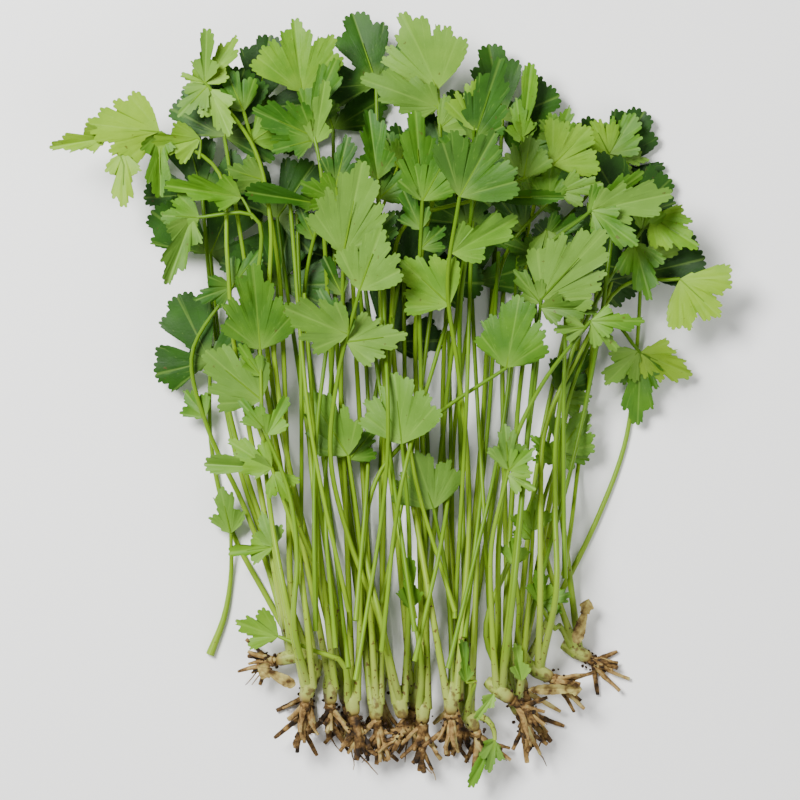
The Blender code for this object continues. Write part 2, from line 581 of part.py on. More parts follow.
def ring_frame(place, heading, radius, roll):
    """Matrix that puts a unit circle at a place, square to the heading, one corner up before the roll."""
    side = heading.cross(Vector((0, 0, 1)))
    if side.length < 1e-6:
        side = Vector((1, 0, 0))
    side.normalize()
    up = side.cross(heading)
    columns = [side * radius, up * radius, heading * radius]
    frame = Matrix(columns).transposed().to_4x4() @ Matrix.Rotation(roll, 4, "Z")
    frame.translation = place
    return frame


def tube(points, radii, sides, facing=None, roll=0.0):
    """A closed solid of round section along points, in metres. All its rings, or the first, face a way."""
    points = [Vector(p) * MM for p in points]
    bm = bmesh.new()
    bmesh.ops.create_circle(bm, cap_ends=True, segments=sides, radius=1.0)
    cap = bm.faces[:][0]
    last = Matrix.Identity(4)
    for k, place in enumerate(points):
        back = points[max(k - 1, 0)]
        ahead = points[min(k + 1, len(points) - 1)]
        heading = Vector(facing) if facing and (roll or k == 0) else ahead - back
        frame = ring_frame(place, heading.normalized(), radii[k] * MM, roll)
        if k:
            grown = bmesh.ops.extrude_face_region(bm, geom=[cap])["geom"]
            if k > 1:
                bmesh.ops.delete(bm, geom=[cap], context="FACES_ONLY")
            cap = next(part for part in grown if isinstance(part, bmesh.types.BMFace))
        bmesh.ops.transform(bm, matrix=frame @ last.inverted(), verts=cap.verts)
        last = frame
    bmesh.ops.recalc_face_normals(bm, faces=bm.faces)
    return bm


def blade(leaf, sunk):
    """A thin closed blade: fanned to its outline from where its veins meet, thickened straight up."""
    origin = Vector(shifted([(*leaf["base"], leaf["z"] - leaf["thick"] / 2)])[0])
    bm = bmesh.new()
    middle, *edge = [bm.verts.new((Vector(corner) + origin) * MM) for corner in leaf["corners"]]
    for foot in (edge[0], edge[-1]):
        foot.co -= Vector((*leaf["heading"], 0)) * sunk * MM
    faces = [bm.faces.new((middle, a, b)) for a, b in zip(edge, edge[1:] + edge[:1])]
    grown = bmesh.ops.extrude_face_region(bm, geom=faces)["geom"]
    top = [part for part in grown if isinstance(part, bmesh.types.BMVert)]
    bmesh.ops.translate(bm, verts=top, vec=(0, 0, leaf["thick"] * MM))
    bmesh.ops.recalc_face_normals(bm, faces=bm.faces)
    return bm


def add_object(name, bm, collection):
    mesh = bpy.data.meshes.new(name)
    bm.to_mesh(mesh)
    bm.free()
    made = bpy.data.objects.new(name, mesh)
    collection.objects.link(made)
    return made


def fuse(name, solids, material):
    """Joins a piece's solids in one closed body. The exact solver leaves edges with three faces here."""
    scene = bpy.context.scene.collection
    whole = add_object(name, solids[0], scene)
    if len(solids) > 1:
        rest = bpy.data.collections.new("repeats")
        scene.children.link(rest)
        others = [add_object("repeat", solid, rest) for solid in solids[1:]]
        union = whole.modifiers.new("Union", "BOOLEAN")
        union.operation = "UNION"
        union.operand_type = "COLLECTION"
        union.collection = rest
        union.solver = "MANIFOLD"
        graph = bpy.context.evaluated_depsgraph_get()
        joined = bpy.data.meshes.new_from_object(whole.evaluated_get(graph))
        whole.modifiers.clear()
        whole.data = joined
        joined.name = name
        for other in others:
            bpy.data.objects.remove(other)
        bpy.data.collections.remove(rest)
    cleaned = bmesh.new()
    cleaned.from_mesh(whole.data)
    bmesh.ops.triangulate(cleaned, faces=cleaned.faces)
    cleaned.to_mesh(whole.data)
    cleaned.free()
    whole.data.materials.clear()
    whole.data.materials.append(material)
    return whole


def make_material(name, colour, roughness):
    material = bpy.data.materials.new(name)
    material.use_nodes = True
    shader = material.node_tree.nodes["Principled BSDF"]
    shader.inputs["Base Color"].default_value = (*colour, 1.0)
    shader.inputs["Roughness"].default_value = roughness
    shader.inputs["Metallic"].default_value = 0.0
    return material


def shifted(points):
    """Knots with the heap's middle moved to x = y = 0."""
    return [(x - MIDDLE[0], y - MIDDLE[1], z) for x, y, z in points]


def leaf_solids(leaf, sunk):
    """A leaflet's blade with its side stalk, its base sunk a little way into what carries it."""
    solids = [blade(leaf, sunk)]
    if "stalk" in leaf:
        start, end = shifted(leaf["stalk"])
        inward = Vector((*leaf["heading"], 0)) * NECK[1] / 2
        solids.append(tube([start, end, Vector(end) + inward], [SIDE_STALK_RADIUS] * 3, 4))
    return solids


def stalk_solids(stalk, sunk):
    """A leafy stalk, its start sunk in the crown. Each leaflet is sunk a little more than the last."""
    knots = [Vector(knot) for knot in shifted(stalk["knots"])]
    knots[0] -= (knots[1] - knots[0]).normalized() * sunk
    solids = [tube(knots, stalk["radius"], STALK_SIDES)]
    for place, leaf in enumerate(stalk["leaves"]):
        solids.extend(leaf_solids(leaf, SINK * (1 + 0.4 * place)))
    return solids


def build_plant(name, laid, material):
    radii = [0.62 * CROWN_RADIUS, CROWN_RADIUS, 0.8 * CROWN_RADIUS]
    axis = [(x, y, laid["floor"] + radius * math.cos(math.pi / 6))
            for (x, y), radius in zip(laid["axis"], radii)]
    heading = Vector(axis[2]) - Vector(axis[0])
    solids = [tube(shifted(axis), radii, 6, (heading.x, heading.y, 0), math.pi / 6)]
    for number, stalk in enumerate(laid["stalks"], 1):
        solids.extend(stalk_solids(stalk, SINK * number))
    return fuse(name, solids, material)


def build_scraps(name, leaflets, space, material, draw):
    """Small loose leaves, each on top of what is under it."""
    for number, (base, tip, width) in enumerate(leaflets, 1):
        leaf = make_leaf(base, tip, width, "upper", space, [], draw)
        leaf["z"] = float(np.argmin(leaf["blocked"])) * LEVEL
        fill_leaf(leaf, space)
        fuse(f"{name}_{number}", [blade(leaf, 0.0)], material)


def build_bunch():
    draw = random.Random(SEED)
    space = np.zeros(SPACE_SIZE, dtype=bool)
    green = make_material("leaf", LEAF_GREEN, 0.5)
    brown = make_material("root", ROOT_BROWN, 0.8)
    crowns = [lay_crown(plant, space, draw) for plant in PLANTS]
    for number, (plant, laid) in enumerate(zip(PLANTS, crowns), 1):
        lay_plant(plant, laid, space, draw)
        build_plant(f"plant_{number:02d}", laid, green)
        roots = [tube(shifted(root["knots"]), root["radius"], root["sides"], root["facing"])
                 for root in laid["roots"]]
        fuse(f"root_{number:02d}", roots, brown)
    path, leaves = BROKEN_LEAF
    ground = math.ceil(STALK_RADIUS / LEVEL)
    broken = lay_stalk(path, leaves, "upper", STALK_RISES[0], space, space.copy(), ground, draw)
    fuse("broken_leaf", stalk_solids(broken, SINK), green)
    build_scraps("seed_leaf", SEED_LEAVES, space, green, draw)
    build_scraps("withered_scrap", SCRAPS, space, make_material("withered", SCRAP_TAN, 0.8), draw)


for thing in list(bpy.data.objects):
    bpy.data.objects.remove(thing)
build_bunch()
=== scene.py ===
# %% [markdown]
# # A bunch of coriander
#
# Nineteen young plants lie on their side in a loose heap: cut fan-shaped leaves at the top, long pale
# stalks, and pale crowns with short brown roots at the bottom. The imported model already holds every
# plant as a stiff body with flat blades. This lesson grows the fine version of each of them in the same
# place: waved leaves with veins and rounded teeth, round stalks that bend smoothly, roots with hairs.
#
# A heap could be scattered by eye, or dropped in a simulation. Here it is laid by a rule instead, the
# same one that placed the solids, so that every fine leaf lies exactly where its solid lies.

import itertools
import math
import random

import bmesh
import bpy
import numpy as np
from mathutils import Matrix, Vector


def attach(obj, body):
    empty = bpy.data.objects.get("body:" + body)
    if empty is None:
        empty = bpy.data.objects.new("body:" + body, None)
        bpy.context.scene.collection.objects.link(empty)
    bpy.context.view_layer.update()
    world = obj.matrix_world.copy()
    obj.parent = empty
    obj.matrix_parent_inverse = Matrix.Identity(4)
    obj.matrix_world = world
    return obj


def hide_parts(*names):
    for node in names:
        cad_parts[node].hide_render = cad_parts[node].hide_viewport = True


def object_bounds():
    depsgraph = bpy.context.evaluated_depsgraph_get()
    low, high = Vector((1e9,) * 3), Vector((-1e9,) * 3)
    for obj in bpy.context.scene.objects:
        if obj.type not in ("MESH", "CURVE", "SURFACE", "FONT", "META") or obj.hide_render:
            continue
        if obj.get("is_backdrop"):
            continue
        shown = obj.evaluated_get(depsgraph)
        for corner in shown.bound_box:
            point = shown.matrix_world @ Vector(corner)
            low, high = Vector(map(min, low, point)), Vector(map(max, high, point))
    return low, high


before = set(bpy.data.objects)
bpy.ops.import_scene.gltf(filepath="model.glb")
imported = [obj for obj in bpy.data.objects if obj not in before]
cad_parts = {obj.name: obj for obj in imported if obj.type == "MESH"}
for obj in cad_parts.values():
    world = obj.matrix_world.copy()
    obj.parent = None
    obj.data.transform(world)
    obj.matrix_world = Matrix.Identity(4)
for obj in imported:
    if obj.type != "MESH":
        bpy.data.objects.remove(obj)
solid_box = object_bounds()
MM = 0.001
print("nodes in the packed model:", len(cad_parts))

# %% [markdown]
# ## The sizes of a plant
#
# A young coriander plant has a swollen crown as thick as a pencil. From it grow leaf stalks 3 to 4 mm
# thick and up to 25 cm long, which thin towards the leaf. All lengths in the layout are millimetres, as
# a gardener would measure them, and become metres only when a vertex is placed.

# %% Sizes of stalks, crowns and roots
GAP = 0.7                  # clear air kept between two plants where they lie on each other
BLADE = 0.9                # thickness of a leaflet
STALK_RADIUS = 1.9         # leaf stalk where it leaves the crown
STALK_TIP_RADIUS = 1.05    # leaf stalk under its last leaflet
SLIM_RADIUS = 1.5          # radius up to which a stalk counts as slim when it is laid
SIDE_STALK_RADIUS = 0.85   # short stalk of a side leaflet
STALK_SPAN = 44.0          # longest straight run of a leaf stalk
STALK_RISES = (0.55, 1.2)  # steepest climb of a leaf stalk, and of one that finds no other way
CROWN_RADIUS = 4.8
CROWN_HALF = 8.0           # half of the crown's length
CROWN_SPREAD = 2.2         # how far to either side of the crown's middle its outer stalks start
SIDESTEPS = (0, 5, -5, 9, -9, 14, -14, 20, -20)   # of a stalk's first stretch, in the order they are tried
ROOT_GAP = 0.35            # between a crown and its brown root
ROOT_RADIUS = 3.2
ROOT_TIP_RADIUS = 1.3
ROOT_RISE = 0.8            # steepest drop of a root
ROOTLETS = ((0.3, -1), (0.5, 1))   # where on the main root each leaves it, and to which side
ROOTLET_RADII = (1.1, 0.6)
ROOTLET_REACH = (12, 19)   # least and greatest length
ROOTLET_TURN = (0.5, 1.0)  # away from the main root, in radians
CLIMB_COST = 2.0           # how much a stalk shuns climbing, against lying low
CROSSING_COST = 0.15       # how much a leaflet shuns passing through its neighbour on the stalk
TRIES = 8                  # ways of leaning that a leaflet is tried in
SWAY = 14.0                # how far a hidden stalk bows to one side
CLEAR_RUN = 24.0           # run from the crown along which a plant's own stalks may touch
HIDDEN_LENGTH = (34, 42)   # of a hidden leaf
HIDDEN_TURN = 0.6          # how far a hidden leaf points to either side, in radians
TOUCHDOWN = 0.75           # a leaflet that would lie this near the surface is laid on it
APART = 4.0                # farthest a leaflet's base may be from its stalk without a side stalk
BRANCH_BACK = 0.7          # how far down the stalk a side stalk starts, against how far out it reaches
MIDDLE = (-3.5, 0.1)       # middle of the heap in the layout, moved to x = y = 0
SEED = 41                  # of the random draws, the same as for the solids

# %% [markdown]
# ## Where the plants lie
#
# Each plant is a crown, a root and its leafy stalks, seen from above. A stalk is a few points that it
# passes through and the leaflets that it carries, each as base, tip and width. Nobody can type in a
# believable heap as raw vertices, but a few points for each stalk can be given, and the rest
# follows from them. The first six plants are hidden under the others, so only the place of each leaf
# is given for them.

# %% The plants, from the lowest to the highest
# A leaflet is (base, tip, width); a leafy stalk is (points from the crown on, its leaflets).
PLANTS = [
    # Lower plants: their leaves are the dark ones seen between the upper leaves, darkened with painted
    # shade
    {"crown": (-10, -142), "root": (-12, -176), "hidden": [(-8, 30), (-28, 70), (-34, 138), (8, 110)]},
    {"crown": (30, -145), "root": (30, -178), "hidden": [(38, 60), (28, 108), (66, 112), (52, 142)]},
    {"crown": (-28, -147), "root": (-25, -178), "hidden": [(-62, 58), (-62, 92), (-72, 148)]},
    {"crown": (60, -140), "root": (74, -174), "hidden": [(92, 66), (116, 92), (106, 116), (122, 64)]},
    {"crown": (8, -150), "root": (5, -172), "hidden": [(6, 60), (34, 88), (-12, 160)]},
    {"crown": (-44, -140), "root": (-50, -160), "hidden": [(-96, 74), (-100, 104), (-96, 20), (-88, 132)]},
    # Plants whose leaves show at the sides and along the top
    {"crown": (-55, -130), "root": (-71, -134), "stalks": [
        ([(-69, -80), (-90, -30), (-102, -5), (-105, 8), (-104, 27), (-94, 45), (-84, 57)],
         [((-84, 57), (-103, 50), 15), ((-84, 57), (-70, 75), 17), ((-101, -9), (-110, 5), 15)]),
        ([(-70, -50), (-84, 35), (-88, 100), (-97, 129), (-110, 134), (-120, 134)],
         [((-123, 134), (-157, 137), 33), ((-147, 131), (-175, 126), 13), ((-138, 124), (-138, 96), 16),
          ((-100, 131), (-127, 125), 17), ((-120, 134), (-120, 99), 15)]),
        ([(-57, -110), (-64, -74)],
         [((-64, -74), (-86, -77), 12), ((-64, -74), (-70, -56), 13)]),
        ([(-60, 50), (-67, 100), (-71, 130), (-78, 144)],
         [((-78, 144), (-88, 167), 19), ((-66, 111), (-88, 116), 16), ((-71, 130), (-54, 142), 18)]),
    ]},
    {"crown": (-35, -146), "root": (-36, -172), "stalks": [
        ([(-58, -20), (-66, 60), (-64, 110), (-75, 129), (-90, 150), (-97, 158)],
         [((-97, 158), (-96, 183), 11), ((-96, 157), (-82, 181), 14), ((-97, 156), (-110, 141), 15),
          ((-95, 154), (-84, 130), 16), ((-98, 159), (-110, 162), 9)]),
        ([(-75, 0), (-73, 50), (-70, 85), (-79, 101), (-97, 96), (-104, 91)],
         [((-79, 101), (-116, 107), 16), ((-100, 94), (-120, 92), 22), ((-104, 91), (-116, 57), 17)]),
        ([(-50, 35), (-37, 80), (-39, 98)],
         [((-39, 98), (-78, 104), 11), ((-42, 80), (-51, 98), 12), ((-38, 92), (-20, 100), 18)]),
    ]},
    {"crown": (-12, -154), "root": (-12, -185), "stalks": [
        ([(-33, -10), (-36, 50), (-39, 100), (-41, 130), (-49, 154)],
         [((-49, 154), (-53, 190), 41), ((-43, 132), (-72, 144), 23), ((-41, 130), (-63, 124), 12),
          ((-40, 128), (-37, 160), 13), ((-44, 140), (-31, 171), 18)]),
        ([(-23, 35), (-25, 75), (-32, 106)],
         [((-32, 106), (-26, 131), 18), ((-30, 99), (-50, 108), 17), ((-29, 96), (-12, 112), 16)]),
        ([(-8, -20), (-8, 50), (-9, 85), (-11, 109)],
         [((-11, 109), (-16, 144), 17), ((-10, 100), (8, 116), 17), ((-10, 97), (-28, 84), 16)]),
    ]},
    {"crown": (12, -156), "root": (10, -188), "stalks": [
        ([(8, 35), (14, 90), (21, 125), (19, 155)],
         [((19, 155), (0, 193), 40), ((19, 146), (-19, 160), 22), ((20, 135), (38, 150), 20)]),
        ([(10, 35), (9, 70), (11, 98)],
         [((11, 98), (7, 140), 24), ((11, 98), (28, 128), 20), ((9, 84), (0, 108), 14),
          ((9, 75), (22, 86), 14)]),
        ([(11, -130), (5, -105)], [((5, -105), (4, -78), 11)]),
    ]},
    {"crown": (35, -160), "root": (43, -178), "stalks": [
        ([(30, 35), (35, 90), (36, 131)],
         [((36, 131), (37, 157), 28), ((36, 126), (49, 166), 25), ((35, 112), (18, 128), 18)]),
        ([(44, 20), (52, 70), (70, 98), (79, 104)],
         [((79, 104), (100, 108), 16), ((72, 99), (76, 122), 17), ((60, 86), (47, 104), 17)]),
        ([(33, -141)], [((33, -141), (31, -120), 7)]),
        ([(46, -163), (48, -172)], [((48, -172), (45, -188), 11), ((47, -171), (35, -196), 8)]),
    ]},
    {"crown": (58, -152), "root": (68, -176), "stalks": [
        ([(52, 35), (58, 85), (62, 133)],
         [((62, 133), (66, 169), 10), ((61, 130), (59, 153), 13), ((61, 126), (80, 140), 18)]),
        ([(61, 10), (68, 55), (73, 85)],
         [((73, 85), (75, 64), 18), ((71, 80), (92, 92), 16), ((70, 72), (52, 78), 15)]),
        ([(72, -35), (80, 4)],
         [((80, 4), (95, 28), 20), ((79, 0), (98, 2), 15)]),
        ([(65, -100), (67, -66)], [((67, -66), (69, -48), 15), ((67, -70), (56, -58), 11)]),
    ]},
    {"crown": (90, -128), "root": (101, -134), "stalks": [
        ([(78, -116), (70, -102)],
         [((70, -102), (86, -97), 14), ((70, -102), (71, -83), 13)]),
        ([(74, -80), (72, -50), (81, -26)],
         [((81, -26), (95, -6), 26), ((78, -31), (66, -18), 13), ((80, -28), (97, -30), 13)]),
        ([(80, -25), (94, 20), (107, 45), (117, 49), (121, 38), (122, 24)],
         [((122, 24), (148, 12), 21), ((122, 24), (121, -11), 21), ((122, 26), (103, 7), 18)]),
    ]},
    {"crown": (70, -137), "root": (86, -146), "stalks": [
        ([(73, -15), (95, 30), (115, 62), (128, 72), (141, 61)],
         [((141, 61), (161, 42), 39), ((127, 72), (141, 92), 17)]),
        ([(80, 0), (100, 50), (115, 80), (126, 92)],
         [((126, 92), (149, 77), 23), ((116, 81), (125, 51), 20), ((120, 86), (127, 108), 16)]),
        ([(60, -100), (57, -83)], [((57, -83), (58, -66), 13)]),
    ]},
    # Upper plants: their leaves and stalks lie over the rest
    {"crown": (50, -146), "root": (66, -158), "stalks": [
        ([(65, -10), (70, 40), (68, 75), (78, 90), (95, 94)],
         [((95, 94), (136, 103), 22), ((95, 94), (117, 77), 16), ((92, 93), (120, 113), 18)]),
        ([(60, -60), (65, 0), (70, 50)],
         [((70, 50), (100, 83), 38), ((70, 48), (56, 64), 13), ((70, 46), (99, 44), 14)]),
        ([(50, -60), (59, -10), (64, -1), (73, 11), (84, 27), (94, 39)],
         [((94, 39), (108, 24), 12), ((92, 36), (76, 34), 11), ((94, 39), (120, 39), 14)]),
        ([(45, -80), (54, -35)],
         [((54, -35), (52, -11), 16), ((54, -37), (67, -44), 12), ((54, -35), (66, -24), 13)]),
    ]},
    {"crown": (26, -150), "root": (24, -180), "stalks": [
        ([(15, -100), (0, -10), (-4, 50), (-1, 82), (10, 91), (23, 97), (38, 100), (55, 105), (76, 117)],
         [((76, 117), (95, 136), 32), ((62, 109), (65, 132), 22), ((40, 100), (82, 100), 9)]),
        ([(35, -60), (31, 2), (27, 25), (23, 47), (25, 70), (29, 99)],
         [((29, 99), (46, 130), 43), ((23, 47), (1, 69), 32), ((25, 72), (60, 91), 19)]),
        ([(25, -100), (17, -55)],
         [((17, -55), (7, -26), 34)]),
    ]},
    {"crown": (-24, -152), "root": (-22, -182), "stalks": [
        ([(-40, -127), (-61, -119)], [((-61, -119), (-84, -111), 20)]),
        ([(-28, -40), (-30, 10), (-28, 50), (-28, 72)],
         [((-28, 72), (-19, 115), 38), ((-28, 68), (-1, 94), 19), ((-29, 52), (-38, 71), 9)]),
        ([(-20, -80), (-26, -28)],
         [((-26, -28), (-48, 6), 27), ((-26, -30), (-12, -14), 15)]),
    ]},
    {"crown": (-46, -144), "root": (-53, -176), "stalks": [
        ([(-66, -50), (-69, 0), (-70, 25)],
         [((-70, 25), (-73, 66), 34), ((-70, 0), (-99, 25), 31), ((-70, 12), (-80, 27), 10)]),
        ([(-50, -80), (-64, -34)],
         [((-64, -34), (-85, -21), 17), ((-64, -34), (-100, -32), 11), ((-63, -36), (-54, -51), 16)]),
        ([(-52, -60), (-68, -14)],
         [((-68, -14), (-80, 0), 12), ((-66, -18), (-56, 2), 11)]),
    ]},
    {"crown": (0, -153), "root": (5, -180), "stalks": [
        ([(-32, -50), (-34, -5), (-31, 12), (-26, 33), (-20, 54)],
         [((-20, 54), (-9, 84), 31), ((-26, 33), (-57, 45), 26), ((-26, 31), (-40, 54), 15),
          ((-27, 29), (4, 33), 24)]),
        ([(5, -80), (1, -22)],
         [((1, -22), (-3, 14), 37)]),
        ([(-20, -58), (-14, -43), (-1, -24), (15, -10), (31, 1), (45, 8), (53, 16)],
         [((53, 16), (59, 54), 34)]),
    ]},
]
# The end of the stalk whose leaf is pressed flat on the surface by what lies on it
FLAT_NODE = (-8, 30)
# A leaf broken off its plant, as a leafy stalk
BROKEN_LEAF = ([(-97, -130), (-90, -112), (-86, -87), (-86, -68)], [((-86, -68), (-91, -44), 16)])
# Loose small leaves of the seedlings, and withered scraps, as leaflets
SEED_LEAVES = [((61, -141), (58, -122), 9), ((47, -147), (38, -160), 7)]
SCRAPS = [((96, -101), (89, -124), 7), ((-72, -134), (-53, -143), 7), ((92, -146), (64, -145), 7)]

# %% [markdown]
# ## Finding room in the heap
#
# Two stalks can't be in one place, so each new piece has to know what already lies there. The space of
# the heap is cut in small cells, a millimetre wide and half a millimetre high, that are free or taken.
# A numpy array of true and false is far quicker to search than the meshes themselves.

# %% The space in small cells
SPACE_LOW = (-215, -235)   # its corner in x and y
SPACE_SIZE = (430, 470, 240)   # its cells along x, y and z
LEVEL = 0.5                # height of a cell
CELL = 1.0                 # width of a cell
SAMPLE = 0.9               # farthest apart that a blade's sample points may be
BLADE_REACH = 1.5 * CELL   # how far round a sample point the blade may be touched


def cells(x, y):
    """The columns of cells that hold the points."""
    return np.rint(x - SPACE_LOW[0]).astype(int), np.rint(y - SPACE_LOW[1]).astype(int)


def disc(reach):
    """Column offsets within reach."""
    span = range(-math.ceil(reach), math.ceil(reach) + 1)
    return [(i, j) for i in span for j in span if i * i + j * j <= reach * reach]


def taken(space, x, y, reach, half):
    """For each place and level, whether a piece with this half height would touch something."""
    i, j = cells(x, y)
    filled = np.zeros((len(i), SPACE_SIZE[2]), dtype=bool)
    for di, dj in disc(reach):
        filled |= space[i + di, j + dj]
    margin = math.ceil((half + GAP) / LEVEL)
    count = np.cumsum(np.pad(filled, ((0, 0), (margin + 1, margin))), axis=1, dtype=np.int32)
    touched = count[:, 2 * margin + 1:] > count[:, :-2 * margin - 1]
    touched[:, :math.ceil(half / LEVEL)] = True
    return touched


def fill(space, x, y, height, reach, half, lies_there=True):
    """Marks the cells that a piece lies in."""
    i, j = cells(x, y)
    low = np.floor((height - half) / LEVEL).astype(int)
    steps = math.ceil(2 * half / LEVEL) + 1
    for di, dj in disc(reach):
        for step in range(steps):
            space[i + di, j + dj, np.clip(low + step, 0, SPACE_SIZE[2] - 1)] = lies_there


def taken_round(space, places, radius):
    """The same as taken, for a round piece along the places."""
    return taken(space, places[:, 0], places[:, 1], radius + CELL, radius)


def fill_round(space, places, height, radius, lies_there=True):
    """Marks the cells that a round piece along the places lies in."""
    fill(space, places[:, 0], places[:, 1], height, radius, radius, lies_there)

# %% [markdown]
# ## A stalk that settles
#
# A stalk is springy: it lies low where it can, climbs over what is in its way and doesn't bend sharply.
# The lowest easy way through the free cells is found knot by knot, keeping for each height only the
# cheapest way to get there. Physics could do this too, but a search gives the same heap every time.

# %% Smooth lines and the easiest way
CURVE_STEPS = 12           # steps of a smooth curve from one given point to the next


def runs(points):
    """Distance from the first point to each point."""
    return np.concatenate([[0], np.cumsum(np.linalg.norm(np.diff(points, axis=0), axis=1))])


def smooth_path(points, count):
    """Evenly spaced points on a smooth curve through the given points."""
    ends = [2 * Vector(points[0]) - Vector(points[1]), 2 * Vector(points[-1]) - Vector(points[-2])]
    guides = [ends[0]] + [Vector(p) for p in points] + [ends[1]]
    fine = []
    for a, b, c, d in zip(guides, guides[1:], guides[2:], guides[3:]):
        for step in range(CURVE_STEPS):
            t = step / CURVE_STEPS
            fine.append(0.5 * (2 * b + (c - a) * t + (2 * a - 5 * b + 4 * c - d) * t ** 2
                               + (3 * b - a - 3 * c + d) * t ** 3))
    fine.append(Vector(points[-1]))
    fine = np.array([tuple(p) for p in fine])
    run = runs(fine)
    return np.column_stack([np.interp(np.linspace(0, run[-1], count), run, fine[:, k])
                            for k in range(fine.shape[1])])


def straightened(dense, along, knots):
    """A line's knots seen from above, and its points once the spans between the knots are straight."""
    plan = np.column_stack([np.interp(knots, along, dense[:, k]) for k in (0, 1)])
    return plan, np.column_stack([np.interp(along, knots, plan[:, k]) for k in (0, 1)])


def settle(along, touched, knots, start, rise):
    """Easiest heights at the knots of a line whose straight spans touch nothing."""
    levels = np.arange(SPACE_SIZE[2])
    cost = np.full(len(levels), np.inf)
    cost[start] = 0.0
    steps = []
    for left, right in zip(knots, knots[1:]):
        inside = np.flatnonzero((along >= left - 0.01) & (along <= right + 0.01))
        part = ((along[inside] - left) / (right - left))[:, None]
        most = max(1, int(rise * (right - left) / LEVEL))
        best = np.full(len(levels), np.inf)
        origin = np.zeros(len(levels), dtype=int)
        for change in range(-most, most + 1):
            ends = levels + change
            able = (ends >= 0) & (ends < len(levels))
            path = np.clip(np.rint(levels + part * change).astype(int), 0, len(levels) - 1)
            free = able & ~touched[inside[:, None], path].any(axis=0)
            price = cost + ends * LEVEL + CLIMB_COST * (change * LEVEL) ** 2 / (right - left)
            known = np.where(able, best[np.clip(ends, 0, len(levels) - 1)], 0.0)
            better = np.flatnonzero(free & (price < known))
            best[ends[better]] = price[better]
            origin[ends[better]] = better
        steps.append(origin)
        cost = best
    if not np.isfinite(cost).any():
        return None
    chain = [int(np.argmin(cost))]
    for origin in reversed(steps):
        chain.append(int(origin[chain[-1]]))
    return np.array(chain[::-1]) * LEVEL

# %% [markdown]
# ## The shape of a leaflet
#
# A coriander leaflet is a fan with three lobes, each with a few rounded teeth. Round its base it is
# drawn in polar terms: for each angle from the midrib, how far the edge is. Its surface isn't flat:
# it leans, folds along the midrib, droops at the tip and waves towards the edge, and one function gives
# the height of all that at any place on it.

# %% The outline and the height of a leaflet
# Leaflet outline: tooth edges in degrees either side of the midrib, and which of them are deep clefts.
# A whole leaf is three leaflets in one outline, and has WHOLE for its width.
WHOLE = 0
TEETH = {
    9: ((-54, -41, -30, -19, -6, 6, 19, 30, 41, 54), (3, 6)),
    7: ((-52, -35, -20, -7, 7, 20, 35, 52), (2, 5)),
    5: ((-46, -19, -6, 6, 19, 46), (1, 4)),
    3: ((-40, -14, 14, 40), (1, 2)),
    WHOLE: ((-114, -90, -64, -38, -13, 13, 38, 64, 90, 114), (3, 6)),
}
NECK = (0.8, 3.0)          # half width and length of the narrow foot of a blade
LEAN = 0.35                # steepest lean of a leaflet to either side
FOLD = (-0.12, 0.28)       # slope of its two halves up from the midrib
SLIM_FOLD = (0.5, 0.8)     # the same where the leaflet is seen nearly edge on
DROOP = (0.0, 0.3)         # how far its tip hangs down, against its length
WAVE = (0.04, 0.1)         # height of its waves, against the distance from the base
RIPPLES = (4, 5, 6)        # waves in a full turn round the base
CLEFT = 0.42               # how far a deep cleft cuts towards the base
WHOLE_CLEFT = 0.72         # the same between the three leaflets of a whole leaf
NOTCH = 0.17               # how far a notch between two teeth cuts in
CUT_SPREAD = (0.85, 1.1)   # how unlike each other the cuts are,
TIP_SPREAD = (0.94, 1.05)  # and the tips,
TURN_SPREAD = 1.5          # and how many degrees each is turned from its place


def tooth_count(width):
    """How many teeth a leaflet of this width has; a whole leaf keeps its own mark."""
    if width == WHOLE:
        return WHOLE
    return 9 if width >= 34 else 7 if width >= 21 else 5 if width >= 13 else 3


def envelope(leaf, angle):
    """Reach of the leaflet's rounded outline from its base at an angle from the midrib."""
    if leaf["width"] == WHOLE:
        return leaf["length"] * (0.8 + 0.2 * math.cos(angle))
    a = leaf["width"] / 2
    b = leaf["length"] / 2
    return 2 * math.cos(angle) / b / (math.sin(angle) ** 2 / a ** 2 + math.cos(angle) ** 2 / b ** 2)


def outline(leaf):
    """Corners of a leaflet's outline as (angle, reach): tooth tips with the notches between them."""
    edges, clefts = TEETH[tooth_count(leaf["width"])]
    draw = random.Random(leaf["seed"])
    corners = []
    for k, (left, right) in enumerate(zip(edges, edges[1:])):
        if k:
            cleft = WHOLE_CLEFT if leaf["width"] == WHOLE else CLEFT
            depth = (cleft if k in clefts else NOTCH) * draw.uniform(*CUT_SPREAD)
            angle = math.radians(left + draw.uniform(-TURN_SPREAD, TURN_SPREAD))
            corners.append((angle, envelope(leaf, angle) * (1 - depth)))
        angle = math.radians((left + right) / 2 + draw.uniform(-TURN_SPREAD, TURN_SPREAD))
        corners.append((angle, envelope(leaf, angle) * draw.uniform(*TIP_SPREAD)))
    return corners


def blade_height(leaf, side, ahead):
    """Height of the blade over its base at a place beside and ahead of it."""
    reach = math.hypot(side, ahead)
    angle = math.atan2(side, ahead)
    x, y = turn(leaf, side, ahead)
    flat = leaf["lean"][0] * x + leaf["lean"][1] * y
    wave = leaf["wave"] * reach * math.sin(leaf["ripples"] * angle + leaf["phase"])
    return flat + leaf["fold"] * abs(side) - leaf["droop"] * reach ** 2 / leaf["length"] + wave


def turn(leaf, side, ahead):
    """From beside and ahead of a leaflet's base to the layout's x and y, from the base."""
    ux, uy = leaf["heading"]
    return side * uy + ahead * ux, -side * ux + ahead * uy


